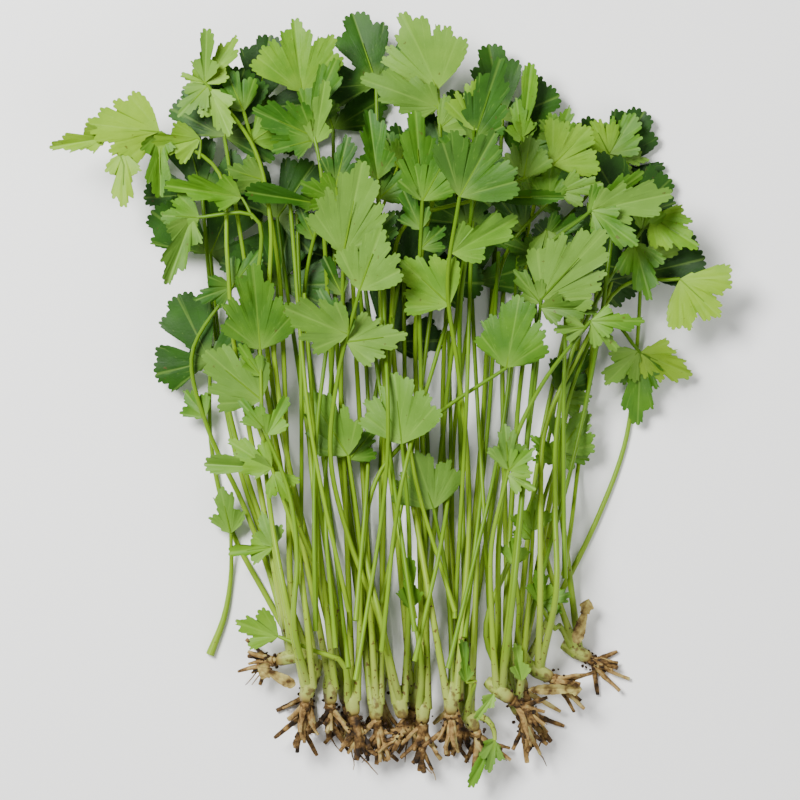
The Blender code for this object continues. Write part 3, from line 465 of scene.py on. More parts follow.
def blade_corners(leaf):
    """The point where the blade's veins meet and the corners round it, from its base, as x, y, z."""
    half, length = NECK
    edge = [(reach * math.sin(angle), reach * math.cos(angle)) for angle, reach in outline(leaf)]
    places = [(0.0, length), (-half, 0.0), *edge, (half, 0.0)]
    return np.array([(*turn(leaf, side, ahead), blade_height(leaf, side, ahead)) for side, ahead in places])


def blade_samples(corners):
    """Points under a millimetre apart all over the blade, from its base."""
    found = []
    middle = corners[0]
    for left, right in zip(corners[1:], np.roll(corners[1:], -1, axis=0)):
        far = max(np.linalg.norm(left - middle), np.linalg.norm(right - middle))
        outward = np.linspace(0, 1, max(2, math.ceil(far / SAMPLE)) + 1)[:, None, None]
        across = max(1, math.ceil(np.linalg.norm(left - right) / SAMPLE))
        edge = left + (right - left) * np.linspace(0, 1, across + 1)[:, None]
        found.append((middle + outward * (edge[None] - middle)).reshape(-1, 3))
    found = np.concatenate(found)
    kept = np.unique(np.rint(found[:, :2] / SAMPLE), axis=0, return_index=True)[1]
    return found[np.sort(kept)]

# %% [markdown]
# ## Leaves that lie on each other
#
# Every leaflet is tried in a few leaning positions, and keeps the one that lies lowest without passing
# through its neighbours. That is how leaves in a real heap end up overlapping like roof tiles.

# %% Laying a leaflet
def blade_taken(leaf, space):
    """For each level of the leaflet's base, whether its blade would touch something."""
    samples = leaf["samples"]
    touched = taken(space, samples[:, 0] + leaf["base"][0], samples[:, 1] + leaf["base"][1],
                    BLADE_REACH, leaf["thick"] / 2)
    levels = np.arange(SPACE_SIZE[2])[None, :] + np.rint(samples[:, 2:] / LEVEL).astype(int)
    inside = touched[np.arange(len(samples))[:, None], np.clip(levels, 0, SPACE_SIZE[2] - 1)]
    blocked = (inside | (levels < 0)).any(axis=0)
    if leaf["upper"]:
        blocked[:np.flatnonzero(blocked).max(initial=-1) + 1] = True
    return blocked


def crossing(leaf, others):
    """How much of the blade would pass through leaflets that start at the same height."""
    i, j = cells(leaf["samples"][:, 0] + leaf["base"][0], leaf["samples"][:, 1] + leaf["base"][1])
    leaf["sheet"] = np.full(SPACE_SIZE[:2], np.nan)
    leaf["sheet"][i, j] = leaf["samples"][:, 2]
    return sum(np.count_nonzero(np.abs(other["sheet"][i, j] - leaf["samples"][:, 2]) < BLADE + LEVEL)
               for other in others)


def make_leaf(base, tip, width, place, space, others, draw):
    """Settles how a leaflet leans: of a few ways, the one in which it lies low and clear of the others."""
    reach = Vector(tip) - Vector(base)
    slim = WHOLE < width < 0.5 * reach.length
    best = None
    for _ in range(TRIES):
        leaf = {"base": base, "length": reach.length, "width": width,
                "upper": place == "upper", "flat": place == "flat",
                "heading": tuple(reach.normalized()), "seed": draw.randrange(10 ** 6),
                "lean": (draw.uniform(-LEAN, LEAN), draw.uniform(-LEAN, LEAN)),
                "fold": draw.uniform(*SLIM_FOLD) if slim else draw.uniform(*FOLD),
                "droop": draw.uniform(*DROOP), "wave": draw.uniform(*WAVE),
                "ripples": draw.choice(RIPPLES), "phase": draw.uniform(0, 2 * math.pi)}
        if leaf["flat"]:
            leaf.update(lean=(0.0, 0.0), fold=0.0, droop=0.0, wave=0.0)
        steep = math.hypot(*leaf["lean"]) + abs(leaf["fold"]) + leaf["droop"]
        leaf["thick"] = BLADE * math.sqrt(1 + 0.5 * steep ** 2)
        leaf["corners"] = blade_corners(leaf)
        leaf["samples"] = blade_samples(leaf["corners"])
        leaf["blocked"] = blade_taken(leaf, space)
        cost = np.argmin(leaf["blocked"]) + CROSSING_COST * crossing(leaf, others)
        if best is None or cost < best[0]:
            best = (cost, leaf)
    return best[1]


def fill_leaf(leaf, space):
    """Marks the cells that a leaflet lies in."""
    samples = leaf["samples"]
    fill(space, samples[:, 0] + leaf["base"][0], samples[:, 1] + leaf["base"][1],
         samples[:, 2] + leaf["z"], 0.5, leaf["thick"] / 2)

# %% Laying a stalk with its leaflets
def lay_stalk(path, leaves, place, rise, space, early, start, draw):
    """Lays one leafy stalk in the heap and gives its knots, radii and leaflets."""
    dense = smooth_path(path, max(12, int(runs(np.array(path))[-1])))
    along = runs(dense)
    knots = np.linspace(0, along[-1], max(4, math.ceil(along[-1] / STALK_SPAN) + 1))
    if rise > STALK_RISES[0]:
        knots = np.unique(np.concatenate([[0, 0.4 * knots[1]], knots[1:]]))
    radius = np.interp(knots, [0, along[-1]], [STALK_RADIUS, STALK_TIP_RADIUS])
    plan, straight = straightened(dense, along, knots)
    wide = np.interp(along, knots, radius)
    touched = taken_round(space, straight, STALK_RADIUS)
    slim = wide < SLIM_RADIUS
    touched[slim] = taken_round(space, straight[slim], SLIM_RADIUS)
    near = along < CLEAR_RUN
    touched[near] = taken_round(early, straight[near], STALK_RADIUS)
    touched[along < CROWN_HALF] = False
    settled = []
    for base, tip, width in leaves:
        at = int(np.argmin(np.hypot(straight[:, 0] - base[0], straight[:, 1] - base[1])))
        apart = math.dist(straight[at], base)
        foot = base if apart > APART else tuple(straight[at])
        leaf = make_leaf(foot, tip, width, place, space, settled, draw)
        leaf["at"] = at
        leaf["branch"] = max(0, at - int(BRANCH_BACK * apart)) if apart > APART else at
        touched[at] |= leaf["blocked"]
        settled.append(leaf)
    height = settle(along, touched, knots, start, rise)
    if height is None:
        return None
    if settled[0]["flat"]:
        height[-1] = STALK_TIP_RADIUS + 0.05
    level = np.interp(along, knots, height)
    fill_round(space, straight[~slim], level[~slim], STALK_RADIUS)
    fill_round(space, straight[slim], level[slim], SLIM_RADIUS)
    for leaf in settled:
        leaf["z"] = float(level[leaf["at"]])
        under = leaf["z"] + leaf["corners"][:, 2].min() - leaf["thick"] / 2
        if under < TOUCHDOWN:
            leaf["z"] -= under
        fill_leaf(leaf, space)
        if leaf["branch"] != leaf["at"]:
            leaf["stalk"] = [(*straight[leaf["branch"]], level[leaf["branch"]]),
                             (*leaf["base"], leaf["z"])]
            line = smooth_path(leaf["stalk"], 30)
            fill(space, line[:, 0], line[:, 1], line[:, 2], CELL, SIDE_STALK_RADIUS)
    return {"knots": np.column_stack([plan, height]), "radius": radius, "leaves": settled}

# %% Laying crowns and roots
def lay_crown(plant, space, draw):
    """Lays a crown and its roots in the lowest free place."""
    crown = np.array(plant["crown"], dtype=float)
    away = np.array(plant["root"]) - crown
    away = away / np.linalg.norm(away)
    ends = [tuple(crown - away * CROWN_HALF), tuple(crown + away * CROWN_HALF)]
    places = smooth_path(ends, 16)
    start = int(np.argmin(taken_round(space, places, CROWN_RADIUS).any(axis=0)))
    base = start * LEVEL
    laid = {"axis": [ends[0], tuple(crown), ends[1]], "away": tuple(away), "places": places,
            "floor": base - math.ceil(CROWN_RADIUS / LEVEL) * LEVEL, "start": start, "stalks": []}
    laid["roots"] = lay_roots(ends[1] + away * ROOT_GAP, plant["root"], start, space, draw)
    fill_round(space, places, np.full(len(places), base), CROWN_RADIUS)
    return laid


def lay_roots(begin, tip, level, space, draw):
    """A trimmed main root and its rootlets, drooping to what lies under them."""
    begin = Vector(begin)
    main = Vector(tip) - begin
    bow = Vector((draw.uniform(-2, 2), 0))
    routes = [([begin, begin + main * 0.5 + bow, begin + main], (ROOT_RADIUS, ROOT_TIP_RADIUS), 4)]
    for part, side in ROOTLETS:
        turned = main.normalized()
        turned.rotate(Matrix.Rotation(side * draw.uniform(*ROOTLET_TURN), 2))
        first = begin + main * part
        reach = draw.uniform(*ROOTLET_REACH)
        routes.append(([first, first + turned * reach * 0.5, first + turned * reach], ROOTLET_RADII, 3))
    early = space.copy()
    laid = []
    for points, radii, knot_count in routes:
        thick = radii[0]
        dense = smooth_path([tuple(p) for p in points], 40)
        along = runs(dense)
        knots = np.linspace(0, along[-1], knot_count)
        plan, straight = straightened(dense, along, knots)
        radius = np.interp(knots, [0, along[-1]], radii)
        touched = taken_round(early, straight, thick)
        if laid:
            touched[along < ROOT_RADIUS] = False
            trunk = laid[0]["knots"]
            far = math.dist(trunk[0][:2], points[0])
            level = int(round(np.interp(far, runs(trunk[:, :2]), trunk[:, 2]) / LEVEL))
        height = settle(along, touched, knots, level, ROOT_RISE)
        if height is None:
            continue
        laid.append({"knots": np.column_stack([plan, height]), "radius": radius, "main": not laid})
        fill_round(space, straight, np.interp(along, knots, height), thick)
    return laid

# %% Laying a whole plant
def lay_plant(plant, laid, space, draw):
    """Lays a plant's stalks and leaflets."""
    early = space.copy()
    places = laid["places"]
    fill_round(early, places, np.full(len(places), laid["start"] * LEVEL), CROWN_RADIUS, lies_there=False)
    crown = plant["crown"]
    routes = [([crown] + points, leaves, "upper") for points, leaves in plant.get("stalks", [])]
    routes += [(*hidden_stalk(crown, node, draw), "flat" if node == FLAT_NODE else "lower")
               for node in plant.get("hidden", [])]
    start_side_by_side(routes, laid["away"])
    for path, leaves, place in routes:
        for rise, sidestep in itertools.product(STALK_RISES, SIDESTEPS):
            stalk = lay_stalk(step_aside(path, sidestep), leaves, place, rise, space, early,
                              laid["start"], draw)
            if stalk:
                break
        laid["stalks"].append(stalk)


def start_side_by_side(routes, away):
    """Moves the stalks' starts across the crown, in the order in which the stalks fan out."""
    across = Vector((-away[1], away[0]))
    fan = sorted((path for path, *_ in routes),
                 key=lambda path: (Vector(path[1]) - Vector(path[0])).normalized().dot(across))
    for path, offset in zip(fan, np.linspace(-CROWN_SPREAD, CROWN_SPREAD, len(fan))):
        path[0] = tuple(Vector(path[0]) + across * float(offset))


def step_aside(path, sidestep):
    """The path with its first stretch moved aside, to get round what lies there."""
    first = Vector(path[0])
    heading = (Vector(path[1]) - first).normalized()
    across = Vector((heading.y, -heading.x))
    moved = tuple(first + heading * CLEAR_RUN + across * sidestep)
    return [path[0], moved] + path[1:] if sidestep else path


def hidden_stalk(crown, node, draw):
    """A stalk that the upper leaves cover, with one whole leaf at its end."""
    middle = (Vector(crown) * 0.45 + Vector(node) * 0.55)
    middle.x += draw.uniform(-SWAY, SWAY) + 0.12 * (node[0] - crown[0])
    heading = draw.uniform(-HIDDEN_TURN, HIDDEN_TURN)
    length = draw.uniform(*HIDDEN_LENGTH)
    tip = (node[0] + length * math.sin(heading), node[1] + length * math.cos(heading))
    return [crown, tuple(middle), node], [(node, tip, WHOLE)]

# %% The heap is laid
draw = random.Random(SEED)
space = np.zeros(SPACE_SIZE, dtype=bool)
heap = [lay_crown(plant, space, draw) for plant in PLANTS]
for plant, laid in zip(PLANTS, heap):
    lay_plant(plant, laid, space, draw)
print("stalks:", sum(len(laid["stalks"]) for laid in heap),
      "leaflets:", sum(len(stalk["leaves"]) for laid in heap for stalk in laid["stalks"]))

# %% The loose pieces on top
broken = lay_stalk(*BROKEN_LEAF, "upper", STALK_RISES[0], space, space.copy(),
                   math.ceil(STALK_RADIUS / LEVEL), draw)


def lay_scraps(leaflets):
    """Small loose leaves, each on top of what is under it."""
    laid = []
    for base, tip, width in leaflets:
        leaf = make_leaf(base, tip, width, "upper", space, [], draw)
        leaf["z"] = float(np.argmin(leaf["blocked"])) * LEVEL
        fill_leaf(leaf, space)
        laid.append(leaf)
    return laid


seed_leaves = lay_scraps(SEED_LEAVES)
withered_scraps = lay_scraps(SCRAPS)
print("loose pieces:", 1 + len(seed_leaves) + len(withered_scraps))

# %% [markdown]
# ## Thin stalks and loose leaves in between
#
# A real bunch is fuller than its nineteen main plants. Thin bare stalks wind over and under the thick
# ones, and small leaves lie low between them, darkened with painted shade. They are laid last, by the same
# rule, in the space that is still free, so they cross nothing.

# %% Thin stalks in the free space
THIN_TRIES = 76
THIN_RADIUS = 1.2
THIN_SPAN = 30.0           # longest straight run
THIN_RISE = 0.8            # steepest climb
THIN_CEILING = 46.0        # no thin stalk lies on top of the leaves
THIN_NARROW = 0.92         # a thin stalk starts a little nearer the middle than its crown,
THIN_FOOT = (12, 42)       # this far from it towards the leaves,
THIN_LEVEL = (20, 100)     # this many levels up,
THIN_END = (35, 105)       # and ends this far up the bunch
THIN_WIDEN = 1.2           # how far it leans outwards, how far it strays and how far it bows
THIN_STRAY = 38
THIN_BOW = 10
filling = random.Random(SEED + 1)


def lay_thin_stalk(path, start_level):
    """A thin bare stalk that finds its way through the free space."""
    dense = smooth_path(path, int(runs(np.array(path))[-1]))
    along = runs(dense)
    knots = np.linspace(0, along[-1], math.ceil(along[-1] / THIN_SPAN) + 1)
    plan, straight = straightened(dense, along, knots)
    height = settle(along, taken_round(space, straight, THIN_RADIUS), knots, start_level, THIN_RISE)
    if height is None or height.max() > THIN_CEILING:
        return None
    fill_round(space, straight, np.interp(along, knots, height), THIN_RADIUS)
    return {"knots": np.column_stack([plan, height]), "radius": [THIN_RADIUS] * 2, "leaves": []}


fillers = []
for number in range(THIN_TRIES):
    crown = PLANTS[number % len(PLANTS)]["crown"]
    foot = (THIN_NARROW * crown[0], crown[1] + filling.uniform(*THIN_FOOT))
    end = (THIN_WIDEN * foot[0] + filling.uniform(-THIN_STRAY, THIN_STRAY), filling.uniform(*THIN_END))
    middle = tuple(0.5 * (a + b) + filling.uniform(-THIN_BOW, THIN_BOW) for a, b in zip(foot, end))
    thin = lay_thin_stalk([foot, middle, end], int(filling.uniform(*THIN_LEVEL)))
    if thin:
        fillers.append(thin)
print("thin stalks that found room:", len(fillers), "of", THIN_TRIES)

# %% Loose leaves in the free space
LOOSE_TRIES = 60
LOOSE_RADII = [0.9, 0.8]   # of its stalk at the foot and under the leaflets
LOOSE_LEAFLETS = ((0.0, 27, 24), (1.1, 21, 20), (-1.1, 21, 20))   # turned by, length, width
LOOSE_SIZE = (0.55, 0.95)  # of these leaflets against the largest
LOOSE_STALK = 42           # its length
LOOSE_PLACE = (-60, 135)   # how far up the bunch a loose leaf lies
LOOSE_HALF = 72            # half of the bunch's width at the first of these places
LOOSE_LEVEL = (3, 45)      # how many levels up its stalk starts
for _ in range(LOOSE_TRIES):
    y = filling.uniform(*LOOSE_PLACE)
    half = LOOSE_HALF + 0.25 * (y - LOOSE_PLACE[0])
    node = (filling.uniform(-half, half), y)
    heading = node[0] / 150 + filling.uniform(-0.5, 0.5)
    foot = (node[0] - LOOSE_STALK * math.sin(heading), node[1] - LOOSE_STALK * math.cos(heading))
    middle = (0.5 * (foot[0] + node[0]) + filling.uniform(-4, 4), 0.5 * (foot[1] + node[1]))
    size = filling.uniform(*LOOSE_SIZE)
    leaflets = []
    for turned, length, width in LOOSE_LEAFLETS:
        tip = (node[0] + size * length * math.sin(heading + turned),
               node[1] + size * length * math.cos(heading + turned))
        leaflets.append((node, tip, size * width))
    small = lay_stalk([foot, middle, node], leaflets, "lower", STALK_RISES[0], space, space,
                      int(filling.uniform(*LOOSE_LEVEL)), filling)
    if small:
        fillers.append({**small, "radius": LOOSE_RADII})
print("with the loose leaves that found room:", len(fillers))

# %% [markdown]
# ## A fine leaflet
#
# The real leaf is a third of a millimetre thick, soft and a little puckered: its upper side sinks in
# along the veins. It could be a flat card with a picture, but then its edge and its waves are missing
# from the side. Here a grid of faces is bent onto the fan: across the grid goes round the angle, up the
# grid goes out to the edge. The grid's lowest row shrinks to the one point of the base, so its doubles
# are merged, and then the sheet is extruded upwards to give it a thickness.

# %% The fine edge of a leaflet
def shifted(points):
    """Knots with the heap's middle moved to x = y = 0."""
    return [(x - MIDDLE[0], y - MIDDLE[1], z) for x, y, z in points]


LEAF_THICK = 0.35          # of the real leaf's blade
TOOTH_WIDTH = 3.3          # of the small rounded teeth along the edge
TOOTH_DEPTH = 1.5
FULL_DEPTH_LENGTH = 18     # length from which a leaflet has teeth of the full depth
TOOTH_ROUND = 0.7          # less than 1 makes a tooth round and the notch beside it sharp
TOOTH_INSIDE = 0.7         # part of a tooth's depth that lies within the smooth edge
DRY_TOOTH_DEPTH = 0.3      # a withered leaf has curled its teeth in
TOOTH_POINTS = 5           # points along one tooth
LOBE_POINTS = 24           # points over one lobe before it gets its teeth
ROUNDNESS = 2.4            # 2 makes a lobe an ellipse, more makes it squarer
SIDE_ROUNDNESS = 1.35      # the same towards the blade's foot,
NEAR_FOOT = 0.3            # where a lobe starts within this part of its reach
SHOULDER = 0.16            # reach at which the blade's side leaves the foot, against the first lobe
BULGE = 1.36               # how far the blade's sides swell out, against the solid's straight ones
BAY = 1.5                  # deepest bay between two lobes that no cleft parts
ROUND_OFF = 0.2            # how far a part of the blade draws back towards its clefts
FILLED = 0.25              # how much of a cleft's length the soft blade fills
CLEFT_GAP = 0.6            # half of a cleft's width
LEAFLET_GAP = 2.5          # half of the gap between the three leaflets of a whole leaf


def lobed(bounds, tips):
    """Points (angle, reach) over a row of rounded lobes between their bounds."""
    line = []
    for (start, foot), (end, next_foot), tip in zip(bounds, bounds[1:], tips):
        for number in range(LOBE_POINTS + 1):
            part = 0.5 - 0.5 * math.cos(math.pi * number / LOBE_POINTS)
            low = foot + part * (next_foot - foot)
            near_foot = (foot if part < 0.5 else next_foot) < NEAR_FOOT * tip[1]
            power = SIDE_ROUNDNESS if near_foot else ROUNDNESS
            swell = (1 - abs(2 * part - 1) ** power) ** (1 / power)
            line.append((start + part * (end - start), low + (tip[1] - low) * swell))
    return line


def toothed(line, depth):
    """The line at even steps, with small rounded teeth that fade out at its two ends."""
    flat = np.array([(reach * math.sin(angle), reach * math.cos(angle)) for angle, reach in line])
    along = runs(flat)
    count = max(2, round(along[-1] / TOOTH_WIDTH))
    steps = np.linspace(0, along[-1], TOOTH_POINTS * count + 1)
    even = np.stack([np.interp(steps, along, flat[:, k]) for k in (0, 1)], axis=1)
    ways = np.gradient(even, axis=0)
    ways /= np.maximum(np.linalg.norm(ways, axis=1), 1e-6)[:, None]
    bump = np.abs(np.sin(np.pi * count * steps / along[-1])) ** TOOTH_ROUND
    fading = np.clip(np.minimum(steps, along[-1] - steps) / TOOTH_WIDTH, 0, 1)
    even += np.stack([-ways[:, 1], ways[:, 0]], axis=1) * (depth * fading * (bump - TOOTH_INSIDE))[:, None]
    points = []
    last = line[0][0]
    for side, ahead in even:
        last = max(last + 1e-4, min(math.atan2(side, ahead), line[-1][0]))
        points.append((last, math.hypot(side, ahead)))
    return points


def fine_edge(leaf):
    """The edge as its parts between clefts: (points, angle of the part's middle, angles of its lobes)."""
    edges, clefts = TEETH[tooth_count(leaf["width"])]
    corners = outline(leaf)
    tips, bays = corners[0::2], corners[1::2]
    depth = TOOTH_DEPTH * min(1.0, leaf["length"] / FULL_DEPTH_LENGTH)
    if leaf.get("dry"):
        depth = DRY_TOOTH_DEPTH
    gap, filled, bulge = (LEAFLET_GAP, 0.0, 1.0) if leaf["width"] == WHOLE else (CLEFT_GAP, FILLED, BULGE)
    bays = [(angle, reach + filled * (min(left[1], right[1]) - reach))
            for (angle, reach), left, right in zip(bays, tips, tips[1:])]
    parts = []
    bounds = [(bulge * math.radians(edges[0]), SHOULDER * tips[0][1])]
    first = 0
    for number, tip in enumerate(tips):
        if tip is tips[-1]:
            end = (bulge * math.radians(edges[-1]), SHOULDER * tip[1])
        elif number + 1 in clefts:
            end = (bays[number][0] - gap / tip[1], bays[number][1])
        else:
            lower = min(tip[1], tips[number + 1][1])
            bounds.append((bays[number][0], max(bays[number][1], lower - BAY)))
            continue
        bounds.append(end)
        middle = (bounds[0][0] + end[0]) / 2
        half = (end[0] - bounds[0][0]) / 2
        inner = [(angle, reach * (1 - ROUND_OFF * ((angle - middle) / half) ** 2))
                 for angle, reach in tips[first:number + 1] + bounds[1:-1]]
        line = lobed([bounds[0], *inner[number + 1 - first:], end], inner[:number + 1 - first])
        parts.append((toothed(line, depth), middle, [angle for angle, _ in tips[first:number + 1]]))
        if tip is not tips[-1]:
            bounds = [(bays[number][0] + gap / tips[number + 1][1], bays[number][1])]
            first = number + 1
    return parts


edge_points = [sum(len(part[0]) for part in fine_edge(leaf))
               for laid in heap for stalk in laid["stalks"] for leaf in stalk["leaves"]]
print("points on a leaflet's edge: from", min(edge_points), "to", max(edge_points))

# %% The sheet of a leaflet
ROWS = 7                   # of faces from the base to the edge
ROW_CROWDING = 0.85        # less than 1 sets the rows closer together towards the edge
VEIN_DEPTH = 0.22          # how far the blade sinks in along a vein
VEIN_REACH = 1.6           # and how far to either side of it
CURL = 1.4                 # how far a lobe's sides may curl up or down
CALM = 0.15                # how much of the solid's wave the soft blade keeps
PUCKER = 0.7               # height of its own soft swells
SWELL = 4.5                # their width, as the part of a wave that is one radian
FAR = 9.0                  # farther from a vein than anything that a material asks for
BRANCH_START = 0.2         # part of the reach at which side veins leave the main one,
BRANCH_RUN = 0.6           # and the part over which they do
FINE_VEIN = 0.2            # a side vein reads as this much farther away, so it is fainter
PALE_LOWER = 0.6           # the lower side is pale, the less so the more pale the upper side is
LOWEST = 0.15              # height over the floor that nothing fine goes below
MERGE = 1e-7               # metres within which two corners of a grid are the same


def new_shape():
    """An empty mesh with the values that the materials read at each vertex."""
    bm = bmesh.new()
    for name in ("vein", "reach", "tone", "under", "along"):
        bm.verts.layers.float.new(name)
    return bm


def layer(bm, name):
    """The layer that holds one of these values."""
    return bm.verts.layers.float[name]


def finish_faces(bm, verts, slot_number):
    """Turns the faces at these vertices outwards, makes them smooth and gives them their material."""
    faces = list({face for vert in verts for face in vert.link_faces})
    bmesh.ops.recalc_face_normals(bm, faces=faces)
    for face in faces:
        face.material_index = slot_number
        face.smooth = True


def edge_columns(leaf, parts):
    """For each point of the fine edge: angle, reach, place across its part and the part's curl."""
    local = random.Random(leaf["seed"])
    columns = []
    for line, middle, _ in parts:
        curl = local.uniform(-CURL, CURL)
        half = max(1e-3, (line[-1][0] - line[0][0]) / 2)
        columns += [(angle, reach, (angle - middle) / half, curl) for angle, reach in line]
    return columns


def vein_distance(parts, angle, reach, part):
    """Distance in millimetres from the nearest vein; side veins part from the main one."""
    near = FAR
    branched = min(1.0, max(0.0, (part - BRANCH_START) / BRANCH_RUN))
    for _, middle, lobes in parts:
        near = min(near, abs(math.sin(angle - middle)) * reach)
        for lobe in lobes:
            turned = middle + (lobe - middle) * branched
            near = min(near, abs(math.sin(angle - turned)) * reach + FINE_VEIN)
    return near


def add_leaflet(bm, leaf, tone, under, slot_number):
    """Adds one fine leaflet: a grid bent onto the fan and given its thickness."""
    parts = fine_edge(leaf)
    columns = edge_columns(leaf, parts)
    calm = {**leaf, "wave": CALM * leaf["wave"]}
    x, y, z = shifted([(*leaf["base"], leaf["z"])])[0]
    keys = {name: layer(bm, name) for name in ("vein", "reach", "tone", "under")}
    grid = bmesh.ops.create_grid(bm, x_segments=len(columns) - 1, y_segments=ROWS, size=0.5)["verts"]
    for vert in grid:
        angle, edge, across, curl = columns[round((vert.co.x + 0.5) * (len(columns) - 1))]
        part = (vert.co.y + 0.5) ** ROW_CROWDING
        reach = edge * part
        side, ahead = reach * math.sin(angle), reach * math.cos(angle)
        vein = vein_distance(parts, angle, reach, part)
        sunk = VEIN_DEPTH * max(0.0, 1 - vein / VEIN_REACH) * min(1.0, 2 * part)
        swollen = PUCKER * part * math.sin(side / SWELL + leaf["phase"])
        swollen *= math.cos(ahead / SWELL + 2 * leaf["phase"])
        lift = curl * (across * part) ** 2 - sunk + swollen
        dx, dy = turn(leaf, side, ahead)
        level = max(LOWEST, z + blade_height(calm, side, ahead) + lift)
        vert.co = Vector((x + dx, y + dy, level)) * MM
        vert[keys["vein"]] = vein
        vert[keys["reach"]] = reach
        vert[keys["tone"]] = tone
        vert[keys["under"]] = under
    bmesh.ops.remove_doubles(bm, verts=grid, dist=MERGE)
    lower = [vert for vert in grid if vert.is_valid]
    faces = list({face for vert in lower for face in vert.link_faces})
    bmesh.ops.recalc_face_normals(bm, faces=faces)
    grown = bmesh.ops.extrude_face_region(bm, geom=faces)["geom"]
    upper = [item for item in grown if isinstance(item, bmesh.types.BMVert)]
    bmesh.ops.translate(bm, verts=upper, vec=(0, 0, LEAF_THICK * MM))
    for vert in lower:
        vert[keys["under"]] = 1.0 - PALE_LOWER * under
    finish_faces(bm, lower + upper, slot_number)

# %% [markdown]
# ## A fine stalk
#
# A coriander stalk is round and juicy. Its ribs are a few hundredths of a millimetre high and don't show
# from this far. A curve with a bevel would do, but its ends are hard to join to the crown and it can't
# carry values for the materials, so a grid is rolled round the line instead: along the grid goes along the
# stalk, across the grid goes once round it. Its two long edges meet, so they are merged, and the open ends
# are filled.

# %% A tube along a line
def add_tube(bm, line, radii, sides, slot_number, along=(0.0, 1.0), tone=0.5, wobble=None):
    """Adds a round tube along points in millimetres, a little uneven where it has a wobble."""
    line = np.array(line)
    ways = np.gradient(line, axis=0)
    ways /= np.linalg.norm(ways, axis=1)[:, None]
    beside = np.cross(ways, (0, 0, 1))
    beside /= np.maximum(np.linalg.norm(beside, axis=1), 1e-6)[:, None]
    above = np.cross(beside, ways)
    grid = bmesh.ops.create_grid(bm, x_segments=len(line) - 1, y_segments=sides, size=0.5)["verts"]
    for vert in grid:
        ring = round((vert.co.x + 0.5) * (len(line) - 1))
        turned = 2 * math.pi * (vert.co.y + 0.5)
        radius = radii[ring] * (wobble(ring, turned) if wobble else 1.0)
        place = line[ring] + radius * (beside[ring] * math.cos(turned) + above[ring] * math.sin(turned))
        vert.co = Vector((place[0], place[1], max(LOWEST, place[2]))) * MM
        vert[layer(bm, "along")] = along[0] + (along[1] - along[0]) * ring / (len(line) - 1)
        vert[layer(bm, "tone")] = tone
    bmesh.ops.remove_doubles(bm, verts=grid, dist=MERGE)
    kept = [vert for vert in grid if vert.is_valid]
    rims = list({edge for vert in kept for edge in vert.link_edges if edge.is_boundary})
    bmesh.ops.holes_fill(bm, edges=rims, sides=0)
    finish_faces(bm, kept, slot_number)

# %% A leafy stalk
STALK_ROUND = 0.86         # the round stalk against the corners of the four-sided one
STALK_RING = 8             # corners round a stalk, and round a midrib
RIB_RING = 6
RING_STEP = 6.0            # from one ring of corners to the next
FOOT_RUN = 18.0            # over which a stalk widens towards its crown
FOOT_WIDENING = 0.35
FULL_STALK = 200           # length at which a stalk reaches the colours of its upper end
RIB_FOOT, RIB_TIP = 0.6, 0.2   # radii of a midrib
RIB_REACHES = (0.15, 0.35, 0.6)   # parts of the leaflet's length through which it runs
RIB_LIFT = 0.05            # how far its middle lies over the blade's lower side
RIB_POINTS = 10
TOUCHING = 0.5             # a leaflet that starts this near to its stalk needs no stalk of its own
LEAF_SLOT, STALK_SLOT = 0, 1   # of the materials of a plant


def add_leafy_stalk(bm, stalk, tones, start=0.0):
    """A smooth stalk through the knots of the layout, its leaflets and their short side stalks."""
    knots = np.array(shifted(stalk["knots"]))
    length = runs(knots)[-1]
    line = smooth_path(knots, max(6, math.ceil(length / RING_STEP)))
    radii = STALK_ROUND * np.interp(runs(line), [0, length], [stalk["radius"][0], stalk["radius"][-1]])
    radii *= 1 + FOOT_WIDENING * np.exp(-runs(line) / FOOT_RUN)
    tone = tones.random()
    end = start + (1 - start) * min(1.0, length / FULL_STALK)
    add_tube(bm, line, radii, STALK_RING, STALK_SLOT, (start, end), tone)
    for leaf in stalk["leaves"]:
        add_leaflet(bm, leaf, *leaf_tone(leaf, tones), LEAF_SLOT)
        add_rib(bm, leaf, line, tone)


def add_rib(bm, leaf, line, tone):
    """The leaflet's own short stalk from the leaf stalk, which runs on as its midrib."""
    base = np.array(shifted([(*leaf["base"], leaf["z"])])[0])
    if "stalk" in leaf:
        start = np.array(shifted(leaf["stalk"])[0])
    else:
        start = line[np.argmin(np.linalg.norm(line - base, axis=1))]
    points = [start, base]
    for part in RIB_REACHES:
        ahead = part * leaf["length"]
        dx, dy = turn(leaf, 0.0, ahead)
        points.append(base + (dx, dy, blade_height(leaf, 0.0, ahead) + RIB_LIFT))
    if np.linalg.norm(start - base) < TOUCHING:
        points = points[1:]
    rib = smooth_path(points, RIB_POINTS)
    thick = SIDE_STALK_RADIUS if "stalk" in leaf else RIB_FOOT
    add_tube(bm, rib, np.linspace(thick, RIB_TIP, len(rib)), RIB_RING, STALK_SLOT, (0.8, 1.0), tone)
